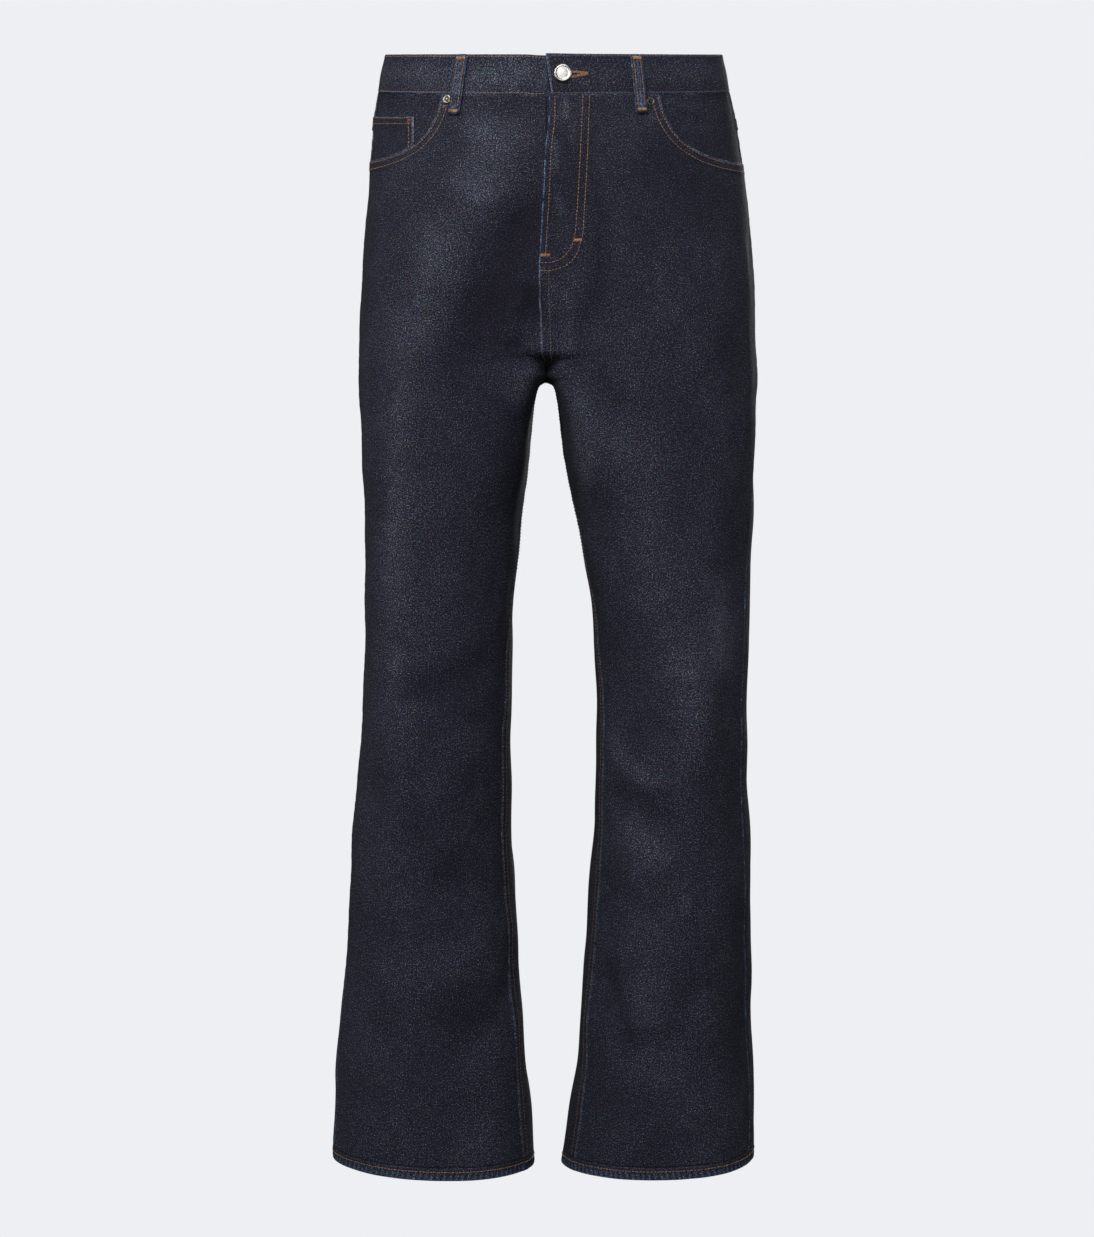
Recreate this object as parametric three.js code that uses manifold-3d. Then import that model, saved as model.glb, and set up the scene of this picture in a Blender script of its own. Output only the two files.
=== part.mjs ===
// Wide leg five-pocket jeans in rigid denim, standing open in the shape of a wearer who isn't there.
// Millimetres, +Z up, front towards -Y, the wearer's left towards +X. The origin is the centre of the
// waist, halfway up the waistband, where the wearer holds the garment.
//
// Every piece lies on one surface. A section of it at a height z runs from p = -2 at the centre front,
// or below the crotch at the inside of the leg, through p = -1 at the front of the leg, p = 0 at the
// side seam and p = 1 at the back of the leg, to p = 2 at the centre back, where a leg closes on
// itself.
import * as THREE from "three";
import Module from "manifold-3d";
import { mergeVertices } from "three/addons/utils/BufferGeometryUtils.js";

// ---- Driving sizes ----
const CLOTH = 1.2; // denim
const SEAM_GAP = 0.3; // between pieces
const HALF_APART = 0.2; // each half keeps this far from the centre line
const WAIST_TOP = 20; // nominal heights, at the side
const WAIST_SEAM = -16;
const CROTCH = -290;
const HEM = -1062;
const HEM_TURN = 12; // height of the turned-up hem
const HEM_THICK = 1.6;
const FRONT_FORK = 50; // height over which the centre front runs under to the crotch
const BACK_FORK = 150;
const INSEAM_TURN = 0.3; // how far the inseam comes round to the front of the leg, in p
const INSEAM_REACH = 420; // height over which it comes round, below the crotch
const SIDE_SEAM_LEFT = { turn: -0.25, reach: 200 }; // the same for the side seams
const SIDE_SEAM_RIGHT = { turn: -0.14, reach: 772 };

// Depth in front of and behind the waist's centre, the flat share of the half width, and how far the
// section drops at the front, rises at the back and rises at the outer side.
const DEPTHS = [
  { z: 20, front: 97, back: 98, flat: 0.14, drop: 15, rise: 12, tilt: 0 },
  { z: -16, front: 101, back: 104, flat: 0.16, drop: 17, rise: 10, tilt: 0 },
  { z: -80, front: 108, back: 124, flat: 0.24, drop: 10, rise: 6, tilt: 0 },
  { z: -150, front: 112, back: 138, flat: 0.32, drop: 4, rise: 2, tilt: 0 },
  { z: -220, front: 110, back: 140, flat: 0.41, drop: 0, rise: 0, tilt: 0 },
  { z: -290, front: 103, back: 128, flat: 0.5, drop: 0, rise: 0, tilt: 0 },
  { z: -360, front: 97, back: 110, flat: 0.5, drop: 0, rise: 0, tilt: 0 },
  { z: -450, front: 91, back: 96, flat: 0.5, drop: 0, rise: 0, tilt: 0 },
  { z: -600, front: 87, back: 84, flat: 0.5, drop: 0, rise: 0, tilt: 0 },
  { z: -760, front: 84, back: 82, flat: 0.5, drop: 0, rise: 0, tilt: 0 },
  { z: -900, front: 83, back: 84, flat: 0.5, drop: 0, rise: 0, tilt: 0 },
  { z: -1062, front: 83, back: 83, flat: 0.5, drop: 6, rise: 2, tilt: 3 },
];

// Distance of each half's outer side and of the inside of its leg from the centre line.
const LEFT_WIDTHS = [
  { z: 20, outer: 171.5, inner: 0 },
  { z: -14, outer: 178.5, inner: 0 },
  { z: -40, outer: 184, inner: 0 },
  { z: -66, outer: 188, inner: 0 },
  { z: -111, outer: 194, inner: 0 },
  { z: -170, outer: 200, inner: 0 },
  { z: -228, outer: 203, inner: 0 },
  { z: -290, outer: 204, inner: 0 },
  { z: -295, outer: 204, inner: 6.5 },
  { z: -317, outer: 203, inner: 12 },
  { z: -336, outer: 203, inner: 15.5 },
  { z: -375, outer: 202, inner: 21 },
  { z: -454, outer: 201, inner: 36 },
  { z: -532, outer: 197, inner: 46 },
  { z: -611, outer: 195, inner: 50 },
  { z: -689, outer: 195, inner: 49 },
  { z: -768, outer: 199, inner: 44 },
  { z: -846, outer: 202, inner: 39 },
  { z: -925, outer: 204, inner: 32 },
  { z: -1003, outer: 205, inner: 24 },
  { z: -1062, outer: 204, inner: 17 },
];
const RIGHT_WIDTHS = [
  { z: 20, outer: 156.5, inner: 0 },
  { z: -14, outer: 164, inner: 0 },
  { z: -40, outer: 169, inner: 0 },
  { z: -66, outer: 171, inner: 0 },
  { z: -111, outer: 176, inner: 0 },
  { z: -170, outer: 181, inner: 0 },
  { z: -228, outer: 183, inner: 0 },
  { z: -290, outer: 183, inner: 0 },
  { z: -295, outer: 183, inner: 6.5 },
  { z: -317, outer: 183, inner: 12 },
  { z: -336, outer: 182, inner: 15.5 },
  { z: -375, outer: 180, inner: 19.5 },
  { z: -454, outer: 177, inner: 27 },
  { z: -532, outer: 177, inner: 34 },
  { z: -611, outer: 180, inner: 36.5 },
  { z: -689, outer: 185, inner: 35.5 },
  { z: -768, outer: 191, inner: 32.5 },
  { z: -846, outer: 196, inner: 29.5 },
  { z: -925, outer: 202, inner: 24 },
  { z: -1003, outer: 206, inner: 18 },
  { z: -1062, outer: 208, inner: 14.5 },
];

// ---- Colours ----
const denim = (color) =>
  new THREE.MeshStandardMaterial({ color, roughness: 0.92, metalness: 0 });
const DENIM = denim("#262734");
const DENIM_INSIDE = denim("#4c5468");
const SILVER = new THREE.MeshStandardMaterial({ color: "#d8d4cf", roughness: 0.35, metalness: 1 });
const DARK_STEEL = new THREE.MeshStandardMaterial({ color: "#6a6058", roughness: 0.45, metalness: 1 });
const COPPER = new THREE.MeshStandardMaterial({ color: "#a5714a", roughness: 0.4, metalness: 1 });

// ---- The surface ----
const clamp = (x, low, high) => Math.min(high, Math.max(low, x));
const mix = (a, b, t) => a + (b - a) * t;
const ease = (t) => t * t * (3 - 2 * t);

// A smooth curve through one column of a table whose rows run downwards.
function read(rows, z, column) {
  let i = rows.findIndex((row) => row.z <= z) - 1;
  if (i < 0) i = z >= rows[0].z ? 0 : rows.length - 2;
  const slope = (k) => {
    const a = rows[Math.max(k - 1, 0)];
    const b = rows[Math.min(k + 1, rows.length - 1)];
    return (b[column] - a[column]) / (b.z - a.z);
  };
  const [a, b] = [rows[i], rows[i + 1]];
  const step = b.z - a.z;
  const t = (z - a.z) / step;
  return (
    a[column] * (1 + 2 * t) * (1 - t) ** 2 +
    b[column] * t * t * (3 - 2 * t) +
    step * (slope(i) * t * (1 - t) ** 2 - slope(i + 1) * t * t * (1 - t))
  );
}

// How far out a rounding stands at an angle: 1 on an ellipse, more where the front is squarer, by the fork.
function fullness(z, angle, q) {
  if (q >= 0) return 1;
  const below = clamp((CROTCH - z) / 150, 0, 1);
  const above = clamp((z - CROTCH) / 90, 0, 1);
  const power = 2 + 4 * (1 - ease(below)) * (1 - ease(above));
  return (Math.abs(Math.cos(angle)) ** power + Math.abs(Math.sin(angle)) ** power) ** (-1 / power);
}

// A point of the outer surface. side is 1 for the wearer's left and -1 for the right.
function skin(side, z, p) {
  const widths = side > 0 ? LEFT_WIDTHS : RIGHT_WIDTHS;
  const outer = read(widths, z, "outer");
  const inner = z < CROTCH ? read(widths, z, "inner") : 0;
  const front = read(DEPTHS, z, "front");
  const back = read(DEPTHS, z, "back");
  const soft = z > -340 ? 0.32 * (CROTCH - z) : inner; // only the very inside turns sharply at the fork
  const middle = z < CROTCH ? (outer + soft) / 2 : outer * read(DEPTHS, z, "flat");
  const near = z < CROTCH ? soft : 0;
  const q = p > 2 ? p - 4 : p;
  let x, turn;
  let full = 1;
  if (Math.abs(q) <= 1) {
    turn = (q * Math.PI) / 2;
    x = middle + (outer - middle) * Math.cos(turn);
  } else {
    const fork = q < 0 ? FRONT_FORK : BACK_FORK;
    const share = z < CROTCH ? 1 : clamp(1 - (z - CROTCH) / fork, 0.24, 1);
    const reach = (share ** 3 * Math.PI) / 2;
    const angle = reach * (Math.abs(q) - 1);
    full = fullness(z, angle, q);
    const along = (full * Math.sin(angle)) / (fullness(z, reach, q) * Math.sin(reach));
    x = middle - (middle - near) * along + (inner - near) * along ** 8;
    turn = Math.sign(q) * (Math.PI / 2 + angle);
  }
  const backwards = Math.sin(turn) * full;
  const y = (back - front) / 2 + ((back + front) / 2) * backwards;
  const lift = read(DEPTHS, z, backwards < 0 ? "drop" : "rise") * backwards;
  const tilt = read(DEPTHS, z, "tilt") * Math.cos(turn);
  return new THREE.Vector3(side * (x + HALF_APART), y, z + lift + tilt);
}

// The same point moved out along the surface's normal.
function cloth(side, z, p, out) {
  const point = skin(side, z, p);
  const end = z < CROTCH ? 3 : 2; // a leg's section goes round, and the torso's ends at the centre line
  const before = skin(side, z, Math.max(p - 0.01, -end));
  const across = skin(side, z, Math.min(p + 0.01, end)).sub(before);
  const up = skin(side, z + 0.5, p).sub(skin(side, z - 0.5, p));
  const normal = across.cross(up).normalize().multiplyScalar(side);
  return point.addScaledVector(normal, out);
}

// The p that lies a distance along the section from the centre front (from = -2) or the centre back
// (from = 2).
function along(side, z, from, distance) {
  const step = from < 0 ? 0.01 : -0.01;
  let p = from;
  let here = skin(side, z, p);
  for (let left = distance; left > 0; ) {
    const next = skin(side, z, p + step);
    const length = next.distanceTo(here);
    if (length >= left) return p + (step * left) / length;
    left -= length;
    p += step;
    here = next;
  }
  return p;
}

// ---- Seams, as p at a height or as a height at p ----
const legShare = (z, reach) => ease(clamp((CROTCH - z) / reach, 0, 1));
const inseamTurn = (z) => INSEAM_TURN * legShare(z, INSEAM_REACH);
function sideSeam(side, z) {
  const { turn, reach } = side > 0 ? SIDE_SEAM_LEFT : SIDE_SEAM_RIGHT;
  return turn * legShare(z, reach);
}
const SEAM_SHARE = (0.5 * SEAM_GAP) / 130; // half a seam's gap, in p

const POCKET_START = -0.65; // p where the pocket mouth leaves the waist seam
const POCKET_ROUND = 3.5; // an ellipse has 2, and more is squarer
const POCKET_DROP_LEFT = 70;
const POCKET_DROP_RIGHT = 67;
const POCKET_HEM = 14; // depth of the panel's edge in front of the piece behind the pocket mouth
function pocketMouth(side, p) {
  const drop = side > 0 ? POCKET_DROP_LEFT : POCKET_DROP_RIGHT;
  const share = clamp(p / POCKET_START, 0, 1);
  return WAIST_SEAM - drop * (1 - share ** POCKET_ROUND) ** (1 / POCKET_ROUND);
}

const YOKE_SIDE = 36; // height of the yoke at the side seam and at the centre back
const YOKE_CENTRE = 70;
const yokeSeam = (p) => WAIST_SEAM - mix(YOKE_SIDE, YOKE_CENTRE, clamp(p / 2, 0, 1));
const RELAXED = -230; // below this height a panel's rows are level

// Heights of the rows of a leg panel, from shares of its part above the crotch and of its part below:
// close together at the crotch, evenly spaced down the leg.
function legRows(top, first) {
  const above = [...first, 0.8, 0.6, 0.42, 0.26, 0.15, 0.08, 0.03, 0.008, 0];
  const below = [0.005, 0.015, 0.03, 0.055, 0.09, 0.15, 0.23, 0.32, 0.42, 0.53, 0.65, 0.77, 0.89, 1];
  const torso = above.map((t) => mix(CROTCH, top, t));
  return [...torso, ...below.map((t) => mix(CROTCH, HEM, t))];
}

// ---- Solids ----
// A wall between two layers of points. point(u, w, layer) gives the outer layer at 1 and the inner one
// at 0.
function wall(columns, rows, point, ring = false) {
  const positions = [];
  const index = [];
  const id = (i, j, layer) => {
    const row = layer * rows.length + j;
    return row * columns.length + (ring ? i % columns.length : i);
  };
  for (const layer of [1, 0])
    for (const w of rows)
      for (const u of columns) positions.push(...point(u, w, layer).toArray());
  const quad = (a, b, c, d) => index.push(a, b, c, a, c, d);
  const across = ring ? columns.length : columns.length - 1;
  const down = rows.length - 1;
  for (let i = 0; i < across; i++) {
    for (let j = 0; j < down; j++) {
      quad(id(i, j, 0), id(i, j + 1, 0), id(i + 1, j + 1, 0), id(i + 1, j, 0));
      quad(id(i, j, 1), id(i + 1, j, 1), id(i + 1, j + 1, 1), id(i, j + 1, 1));
    }
    quad(id(i, 0, 0), id(i + 1, 0, 0), id(i + 1, 0, 1), id(i, 0, 1));
    quad(id(i, down, 0), id(i, down, 1), id(i + 1, down, 1), id(i + 1, down, 0));
  }
  if (!ring)
    for (let j = 0; j < down; j++) {
      quad(id(0, j, 0), id(0, j, 1), id(0, j + 1, 1), id(0, j + 1, 0));
      quad(id(across, j, 0), id(across, j + 1, 0), id(across, j + 1, 1), id(across, j, 1));
    }
  const geometry = new THREE.BufferGeometry();
  geometry.setAttribute("position", new THREE.Float32BufferAttribute(positions, 3));
  geometry.setIndex(index);
  return facingOut(geometry);
}

// Turns every face round if the solid is inside out.
function facingOut(geometry) {
  const at = geometry.attributes.position;
  const index = geometry.index.array;
  const [a, b, c] = [new THREE.Vector3(), new THREE.Vector3(), new THREE.Vector3()];
  let volume = 0;
  for (let i = 0; i < index.length; i += 3) {
    a.fromBufferAttribute(at, index[i]);
    b.fromBufferAttribute(at, index[i + 1]);
    c.fromBufferAttribute(at, index[i + 2]);
    volume += a.dot(b.cross(c));
  }
  if (volume < 0)
    for (let i = 0; i < index.length; i += 3)
      [index[i + 1], index[i + 2]] = [index[i + 2], index[i + 1]];
  return geometry;
}

const evenly = (from, to, count) =>
  Array.from({ length: count + 1 }, (_, i) => mix(from, to, i / count));

const garment = new THREE.Group();
function add(name, geometry, material) {
  const mesh = new THREE.Mesh(geometry, material);
  mesh.name = name;
  garment.add(mesh);
  return mesh;
}

// ---- Front and back panels ----
// Their columns, as p on the torso. What lies behind a panel uses the same ones, so that the layers
// stay apart.
const FRONT_COLUMNS = [-2, -1.67, -1.33, -1, -0.85, -0.73, POCKET_START];
FRONT_COLUMNS.push(-0.64, -0.62, -0.58, -0.52, -0.42, -0.28, -0.14, 0);
const BACK_COLUMNS = [0, 0.14, 0.28, 0.42, 0.56, 0.7, 0.85, 1, 1.2, 1.4, 1.6, 1.8, 2];
const BEHIND = 0.5; // between a panel and a piece behind it

// Where a column runs at a height: the seams turn as they go down the leg.
function frontColumn(side, column, z) {
  const from = -2 + inseamTurn(z) + (z < CROTCH ? SEAM_SHARE : 0);
  return mix(from, sideSeam(side, z) - SEAM_SHARE, (column + 2) / 2);
}
function backColumn(side, column, z) {
  const to = 2 + inseamTurn(z) - (z < CROTCH ? SEAM_SHARE : 0);
  return mix(sideSeam(side, z) + SEAM_SHARE, to, column / 2);
}

// How far a row follows the curve of its panel's top edge.
const following = (row, top) => clamp((row - RELAXED) / (top - RELAXED), 0, 1) ** 2;

function frontPanel(side) {
  const secondRow = 1 - POCKET_HEM / (WAIST_SEAM - CROTCH);
  return wall(FRONT_COLUMNS, legRows(WAIST_SEAM, [1, secondRow]), (column, row, layer) => {
    const lowered = row > WAIST_SEAM - POCKET_HEM - 1 ? 1 : following(row, WAIST_SEAM);
    const z = row - (WAIST_SEAM - pocketMouth(side, column)) * lowered - SEAM_GAP / 2;
    return cloth(side, Math.max(z, HEM), frontColumn(side, column, z), layer ? 0 : -CLOTH);
  });
}

function backPanel(side) {
  const top = yokeSeam(0);
  return wall(BACK_COLUMNS, legRows(top, [1]), (column, row, layer) => {
    const z = row - (top - yokeSeam(column)) * following(row, top) - SEAM_GAP / 2;
    return cloth(side, Math.max(z, HEM), backColumn(side, column, z), layer ? 0 : -CLOTH);
  });
}

function yoke(side) {
  return wall(BACK_COLUMNS, evenly(0, 1, 2), (column, w, layer) => {
    const z = mix(WAIST_SEAM - SEAM_GAP / 2, yokeSeam(column) + SEAM_GAP / 2, w);
    return cloth(side, z, backColumn(side, column, z), layer ? 0 : -CLOTH);
  });
}

// The turned-up hem: a band inside the bottom of the leg.
function hem(side) {
  const outside = -CLOTH - SEAM_GAP;
  const columns = [
    ...FRONT_COLUMNS.map((column) => (z) => frontColumn(side, column, z)),
    ...BACK_COLUMNS.map((column) => (z) => backColumn(side, column, z)),
  ];
  const point = (column, z, layer) =>
    cloth(side, z, column(z), layer ? outside : outside - HEM_THICK);
  return wall(columns, [HEM + HEM_TURN, HEM], point, true);
}

// ---- Waistband ----
const BAND_OUT = 0.6; // it stands this far proud of the panels
const BAND_THICK = 3;
const UNDERLAP = 38; // its right end runs this far under the left one
const UNDERLAP_DEPTH = BAND_THICK + SEAM_GAP;
const FLY_EDGE = 1; // the left end's distance past the centre line

// Stations round the band: the left end, the left half, the centre back, the right half and the underlap.
function bandStations() {
  const stations = [];
  const z = (WAIST_TOP + WAIST_SEAM) / 2;
  const start = along(1, z, -2, FLY_EDGE);
  const place = (side, p, sunk = 0) => stations.push({ side, p, sunk, centre: p === 2 });
  for (const p of evenly(start, -0.85, 6).slice(0, -1)) place(1, p);
  for (const p of evenly(-0.85, 1, 14).slice(0, -1)) place(1, p);
  for (const p of evenly(1, 2, 4)) place(1, p);
  for (const p of evenly(2, 1, 4).slice(1, -1)) place(-1, p);
  for (const p of evenly(1, -1, 16)) place(-1, p);
  for (const t of [0.35, 0.6, 0.85]) place(-1, mix(-1, -2, t), ease(t / 0.85));
  const end = along(1, z, -2, UNDERLAP);
  for (const p of evenly(-2, end, 5).slice(1)) place(1, p, 1);
  return stations;
}

function waistband() {
  const stations = bandStations();
  const rows = [WAIST_TOP, 0, WAIST_SEAM + SEAM_GAP / 2];
  return wall(stations, rows, (station, z, layer) => {
    const out = BAND_OUT - (layer ? 0 : BAND_THICK) - station.sunk * UNDERLAP_DEPTH;
    const point = cloth(station.side, z, station.p, out);
    if (station.centre) point.x = 0;
    return point;
  });
}

// ---- Pieces that lie on or behind a panel ----
const COIN_DEPTH = CLOTH + BEHIND; // the coin pocket lies just behind the front panel
const COIN_THICK = 1;
const FACING_FIRST = FRONT_COLUMNS.indexOf(POCKET_START) - 1;
const pocketEdge = (side, column) => pocketMouth(side, column) - POCKET_HEM;

// The hip piece behind the pocket mouth. On the right it lies deeper, behind the coin pocket.
function facing(side) {
  const outside = side > 0 ? -COIN_DEPTH : -COIN_DEPTH - COIN_THICK - BEHIND;
  return wall(FRONT_COLUMNS.slice(FACING_FIRST), evenly(0, 1, 4), (column, w, layer) => {
    const z = mix(WAIST_SEAM, pocketEdge(side, column), w) - SEAM_GAP / 2;
    return cloth(side, z, frontColumn(side, column, z), layer ? outside : outside - CLOTH);
  });
}

const COIN_TOP = WAIST_SEAM - 22;
const COIN_INNER = -0.52; // the column of its inner side
function coinPocket() {
  const columns = FRONT_COLUMNS.filter((column) => column >= COIN_INNER);
  return wall(columns, evenly(0, 1, 3), (column, w, layer) => {
    const z = mix(COIN_TOP, pocketEdge(-1, column), w);
    return cloth(-1, z, frontColumn(-1, column, z), -COIN_DEPTH - (layer ? 0 : COIN_THICK));
  });
}

// A patch with straight sides and a pointed foot, laid on the back panel.
const PATCH = { width: 150, foot: 138, height: 152, point: 14 };
const PATCH_PLACE = { top: -92, middle: 96, slant: 0.05, out: 0.7 };
function backPocket(side) {
  return wall(evenly(-1, 1, 10), evenly(0, 1, 7), (u, w, layer) => {
    const half = mix(PATCH.width, PATCH.foot, w) / 2;
    const drop = w * (PATCH.height - PATCH.point * Math.abs(u));
    const z = PATCH_PLACE.top - drop - u * half * PATCH_PLACE.slant;
    const p = along(side, z, 2, PATCH_PLACE.middle + u * half);
    return cloth(side, z, p, PATCH_PLACE.out + (layer ? CLOTH : 0));
  });
}

// The strip under the fly, sewn to the right front and reaching behind the left one.
const SHIELD = { right: 12, left: 38, bottom: -186, thick: 1.6 };
function flyShield() {
  const outside = -CLOTH - 2.4 * BEHIND;
  const columns = [-SHIELD.right, 0, 0.33 * SHIELD.left, 0.67 * SHIELD.left, SHIELD.left];
  const rows = evenly(WAIST_SEAM - SEAM_GAP / 2, SHIELD.bottom, 6);
  return wall(columns, rows, (s, z, layer) => {
    const side = s < 0 ? -1 : 1;
    return cloth(side, z, along(side, z, -2, Math.abs(s)), outside - (layer ? 0 : SHIELD.thick));
  });
}

// ---- Belt loops ----
const LOOP = { width: 12.4, thick: 2, bottom: -37, lift: 0.9, arch: 2.4 };
// Distance of the middle of each loop's top and bottom from the centre front (or back) seam.
const LOOPS = [
  { name: "belt_loop_front_left", side: 1, from: -2, top: 86, bottom: 92 },
  { name: "belt_loop_front_right", side: -1, from: -2, top: 81, bottom: 87.7 },
  { name: "belt_loop_back_left", side: 1, from: 2, top: 112, bottom: 114 },
  { name: "belt_loop_back_right", side: -1, from: 2, top: 108, bottom: 110 },
  { name: "belt_loop_centre_back", side: 1, from: 2, top: 0, bottom: 0 },
];
function beltLoop({ side, from, top, bottom }) {
  return wall([-1, 0, 1], evenly(0, 1, 10), (u, w, layer) => {
    const z = mix(WAIST_TOP, LOOP.bottom, w);
    const s = mix(top, bottom, w) + (u * LOOP.width) / 2;
    const half = s < 0 ? -side : side;
    const out = LOOP.lift + LOOP.arch * Math.sin(Math.PI * w) + (layer ? LOOP.thick : 0);
    const point = cloth(half, z, along(half, z, from, Math.abs(s)), out);
    if (s === 0) point.x = 0;
    return point;
  });
}

// ---- Metal ----
// Turned from [radius, height] pairs, with its axis along the surface's normal.
function turned(profile, segments) {
  return new THREE.LatheGeometry(profile.map(([r, h]) => new THREE.Vector2(r, h)), segments);
}

function onSurface(mesh, side, z, p, out) {
  const foot = cloth(side, z, p, out);
  const normal = cloth(side, z, p, out + 1).sub(foot).normalize();
  mesh.position.copy(foot);
  mesh.quaternion.setFromUnitVectors(new THREE.Vector3(0, 1, 0), normal);
}

const BUTTON = { radius: 8.5, height: 3.2, shank: 2.5, at: 16, z: 3 };
const HOLE = { radius: 3, end: 38, endRadius: 0.8 };
const BUTTON_FOOT = BAND_OUT + SEAM_GAP;
const SHANK_END = -BAND_THICK - 0.1;
const BUTTON_PROFILE = [
  [0, SHANK_END],
  [BUTTON.shank, SHANK_END],
  [BUTTON.shank, 0.4],
  [BUTTON.radius - 1, 0.2],
  [BUTTON.radius, 1],
  [BUTTON.radius, 2.2],
  [BUTTON.radius - 0.7, 2.9],
  [BUTTON.radius - 2, BUTTON.height - 0.1],
  [0, BUTTON.height],
];
const TACK_PROFILE = [
  [0, 0],
  [5, 0],
  [5, 0.6],
  [3.5, 1.1],
  [0, 1.1],
];
const rivetProfile = (radius) => [
  [0, 0],
  [radius, 0],
  [radius, radius * 0.14],
  [radius * 0.82, radius * 0.3],
  [radius * 0.42, radius * 0.2],
  [radius * 0.36, radius * 0.42],
  [0, radius * 0.48],
];

// The buttonhole: round where the shank stands and tapering away from the edge of the band.
function buttonholeCutter() {
  const shape = new THREE.Shape();
  shape.moveTo(BUTTON.at, -HOLE.radius);
  shape.lineTo(HOLE.end, -HOLE.endRadius);
  shape.lineTo(HOLE.end, HOLE.endRadius);
  shape.lineTo(BUTTON.at, HOLE.radius);
  shape.absarc(BUTTON.at, 0, HOLE.radius, Math.PI / 2, (3 * Math.PI) / 2, false);
  const settings = { depth: 2 * BAND_THICK, bevelEnabled: false, curveSegments: 8 };
  const cutter = new THREE.ExtrudeGeometry(shape, settings);
  const behind = BAND_OUT - BAND_THICK - SEAM_GAP / 2;
  const middle = cloth(1, BUTTON.z, along(1, BUTTON.z, -2, BUTTON.at), behind);
  return cutter.rotateX(Math.PI / 2).translate(0, middle.y, middle.z);
}

const wasm = await Module();
wasm.setup();
function solid(geometry) {
  const bare = geometry.clone();
  bare.deleteAttribute("normal");
  bare.deleteAttribute("uv");
  const merged = mergeVertices(bare, 1e-4);
  const vertProperties = merged.attributes.position.array;
  return new wasm.Manifold(
    new wasm.Mesh({ numProp: 3, vertProperties, triVerts: new Uint32Array(merged.index.array) }),
  );
}
function cut(geometry, cutter) {
  const mesh = solid(geometry).subtract(solid(cutter)).getMesh();
  const made = new THREE.BufferGeometry();
  made.setAttribute("position", new THREE.Float32BufferAttribute(mesh.vertProperties, 3));
  made.setIndex(Array.from(mesh.triVerts));
  return made;
}

// ---- The garment ----
const HALVES = [
  [1, "left"],
  [-1, "right"],
];
for (const [side, hand] of HALVES) {
  add(`front_${hand}`, frontPanel(side), DENIM);
  add(`back_${hand}`, backPanel(side), DENIM);
  add(`yoke_${hand}`, yoke(side), DENIM);
  add(`pocket_facing_${hand}`, facing(side), DENIM);
  add(`back_pocket_${hand}`, backPocket(side), DENIM);
  add(`hem_${hand}`, hem(side), DENIM_INSIDE);
}
add("waistband", cut(waistband(), buttonholeCutter()), DENIM);
add("fly_shield", flyShield(), DENIM);
add("coin_pocket", coinPocket(), DENIM);
for (const loop of LOOPS) add(loop.name, beltLoop(loop), DENIM);

const button = add("button", turned(BUTTON_PROFILE, 24), SILVER);
onSurface(button, 1, BUTTON.z, along(1, BUTTON.z, -2, BUTTON.at), BUTTON_FOOT);
const tack = add("button_tack", turned(TACK_PROFILE, 16), DARK_STEEL);
const tackDepth = BAND_OUT - BAND_THICK - UNDERLAP_DEPTH - SEAM_GAP;
onSurface(tack, 1, BUTTON.z, along(1, BUTTON.z, -2, BUTTON.at), tackDepth);
tack.rotateX(Math.PI);

const COIN_OUT = SEAM_GAP - COIN_DEPTH;
const RIVETS = [
  { name: "rivet_left", side: 1, z: -24, s: 101, radius: 4, out: SEAM_GAP, metal: DARK_STEEL },
  { name: "rivet_right", side: -1, z: -22, s: 96, radius: 4, out: SEAM_GAP, metal: SILVER },
  { name: "rivet_coin", side: -1, z: -46.5, s: 139, radius: 1.8, out: COIN_OUT, metal: COPPER },
];
for (const { name, side, z, s, radius, out, metal } of RIVETS) {
  const rivet = add(name, turned(rivetProfile(radius), 16), metal);
  onSurface(rivet, side, z, along(side, z, -2, s), out);
}

export default garment;
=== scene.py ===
# %% [markdown]
# # Wide leg jeans in rigid indigo denim
# The garment stands open in the shape of a wearer who isn't there. Every piece is cut as on the real
# one: two fronts, two backs, two yokes, the band, patch and coin pockets, loops, fly strip and hems. The
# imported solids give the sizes. Here each piece becomes a thin shell of cloth with folds, seams and thread.

# %% Load the frame
import math

import bpy
import numpy as np
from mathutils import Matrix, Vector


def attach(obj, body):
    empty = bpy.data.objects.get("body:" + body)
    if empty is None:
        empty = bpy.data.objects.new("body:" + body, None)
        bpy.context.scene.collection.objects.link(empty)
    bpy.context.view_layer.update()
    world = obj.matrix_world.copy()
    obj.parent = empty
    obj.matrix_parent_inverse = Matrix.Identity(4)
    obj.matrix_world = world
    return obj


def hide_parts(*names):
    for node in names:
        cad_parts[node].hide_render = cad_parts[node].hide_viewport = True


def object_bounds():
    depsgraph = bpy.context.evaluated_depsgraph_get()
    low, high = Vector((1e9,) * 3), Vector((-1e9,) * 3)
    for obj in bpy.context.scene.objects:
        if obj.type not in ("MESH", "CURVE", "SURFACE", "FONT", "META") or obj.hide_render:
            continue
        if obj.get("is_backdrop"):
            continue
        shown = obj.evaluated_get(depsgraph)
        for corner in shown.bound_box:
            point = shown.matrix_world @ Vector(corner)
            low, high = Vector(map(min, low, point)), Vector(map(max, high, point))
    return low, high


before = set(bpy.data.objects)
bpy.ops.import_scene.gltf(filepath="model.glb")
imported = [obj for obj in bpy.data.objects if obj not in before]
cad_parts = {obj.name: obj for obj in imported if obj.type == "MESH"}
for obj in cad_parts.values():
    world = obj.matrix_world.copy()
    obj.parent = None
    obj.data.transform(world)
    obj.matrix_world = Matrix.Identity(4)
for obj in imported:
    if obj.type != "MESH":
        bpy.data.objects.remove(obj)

cad_box = [list(corner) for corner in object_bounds()]
print("solids:", len(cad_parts), "box:", cad_box)

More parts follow.
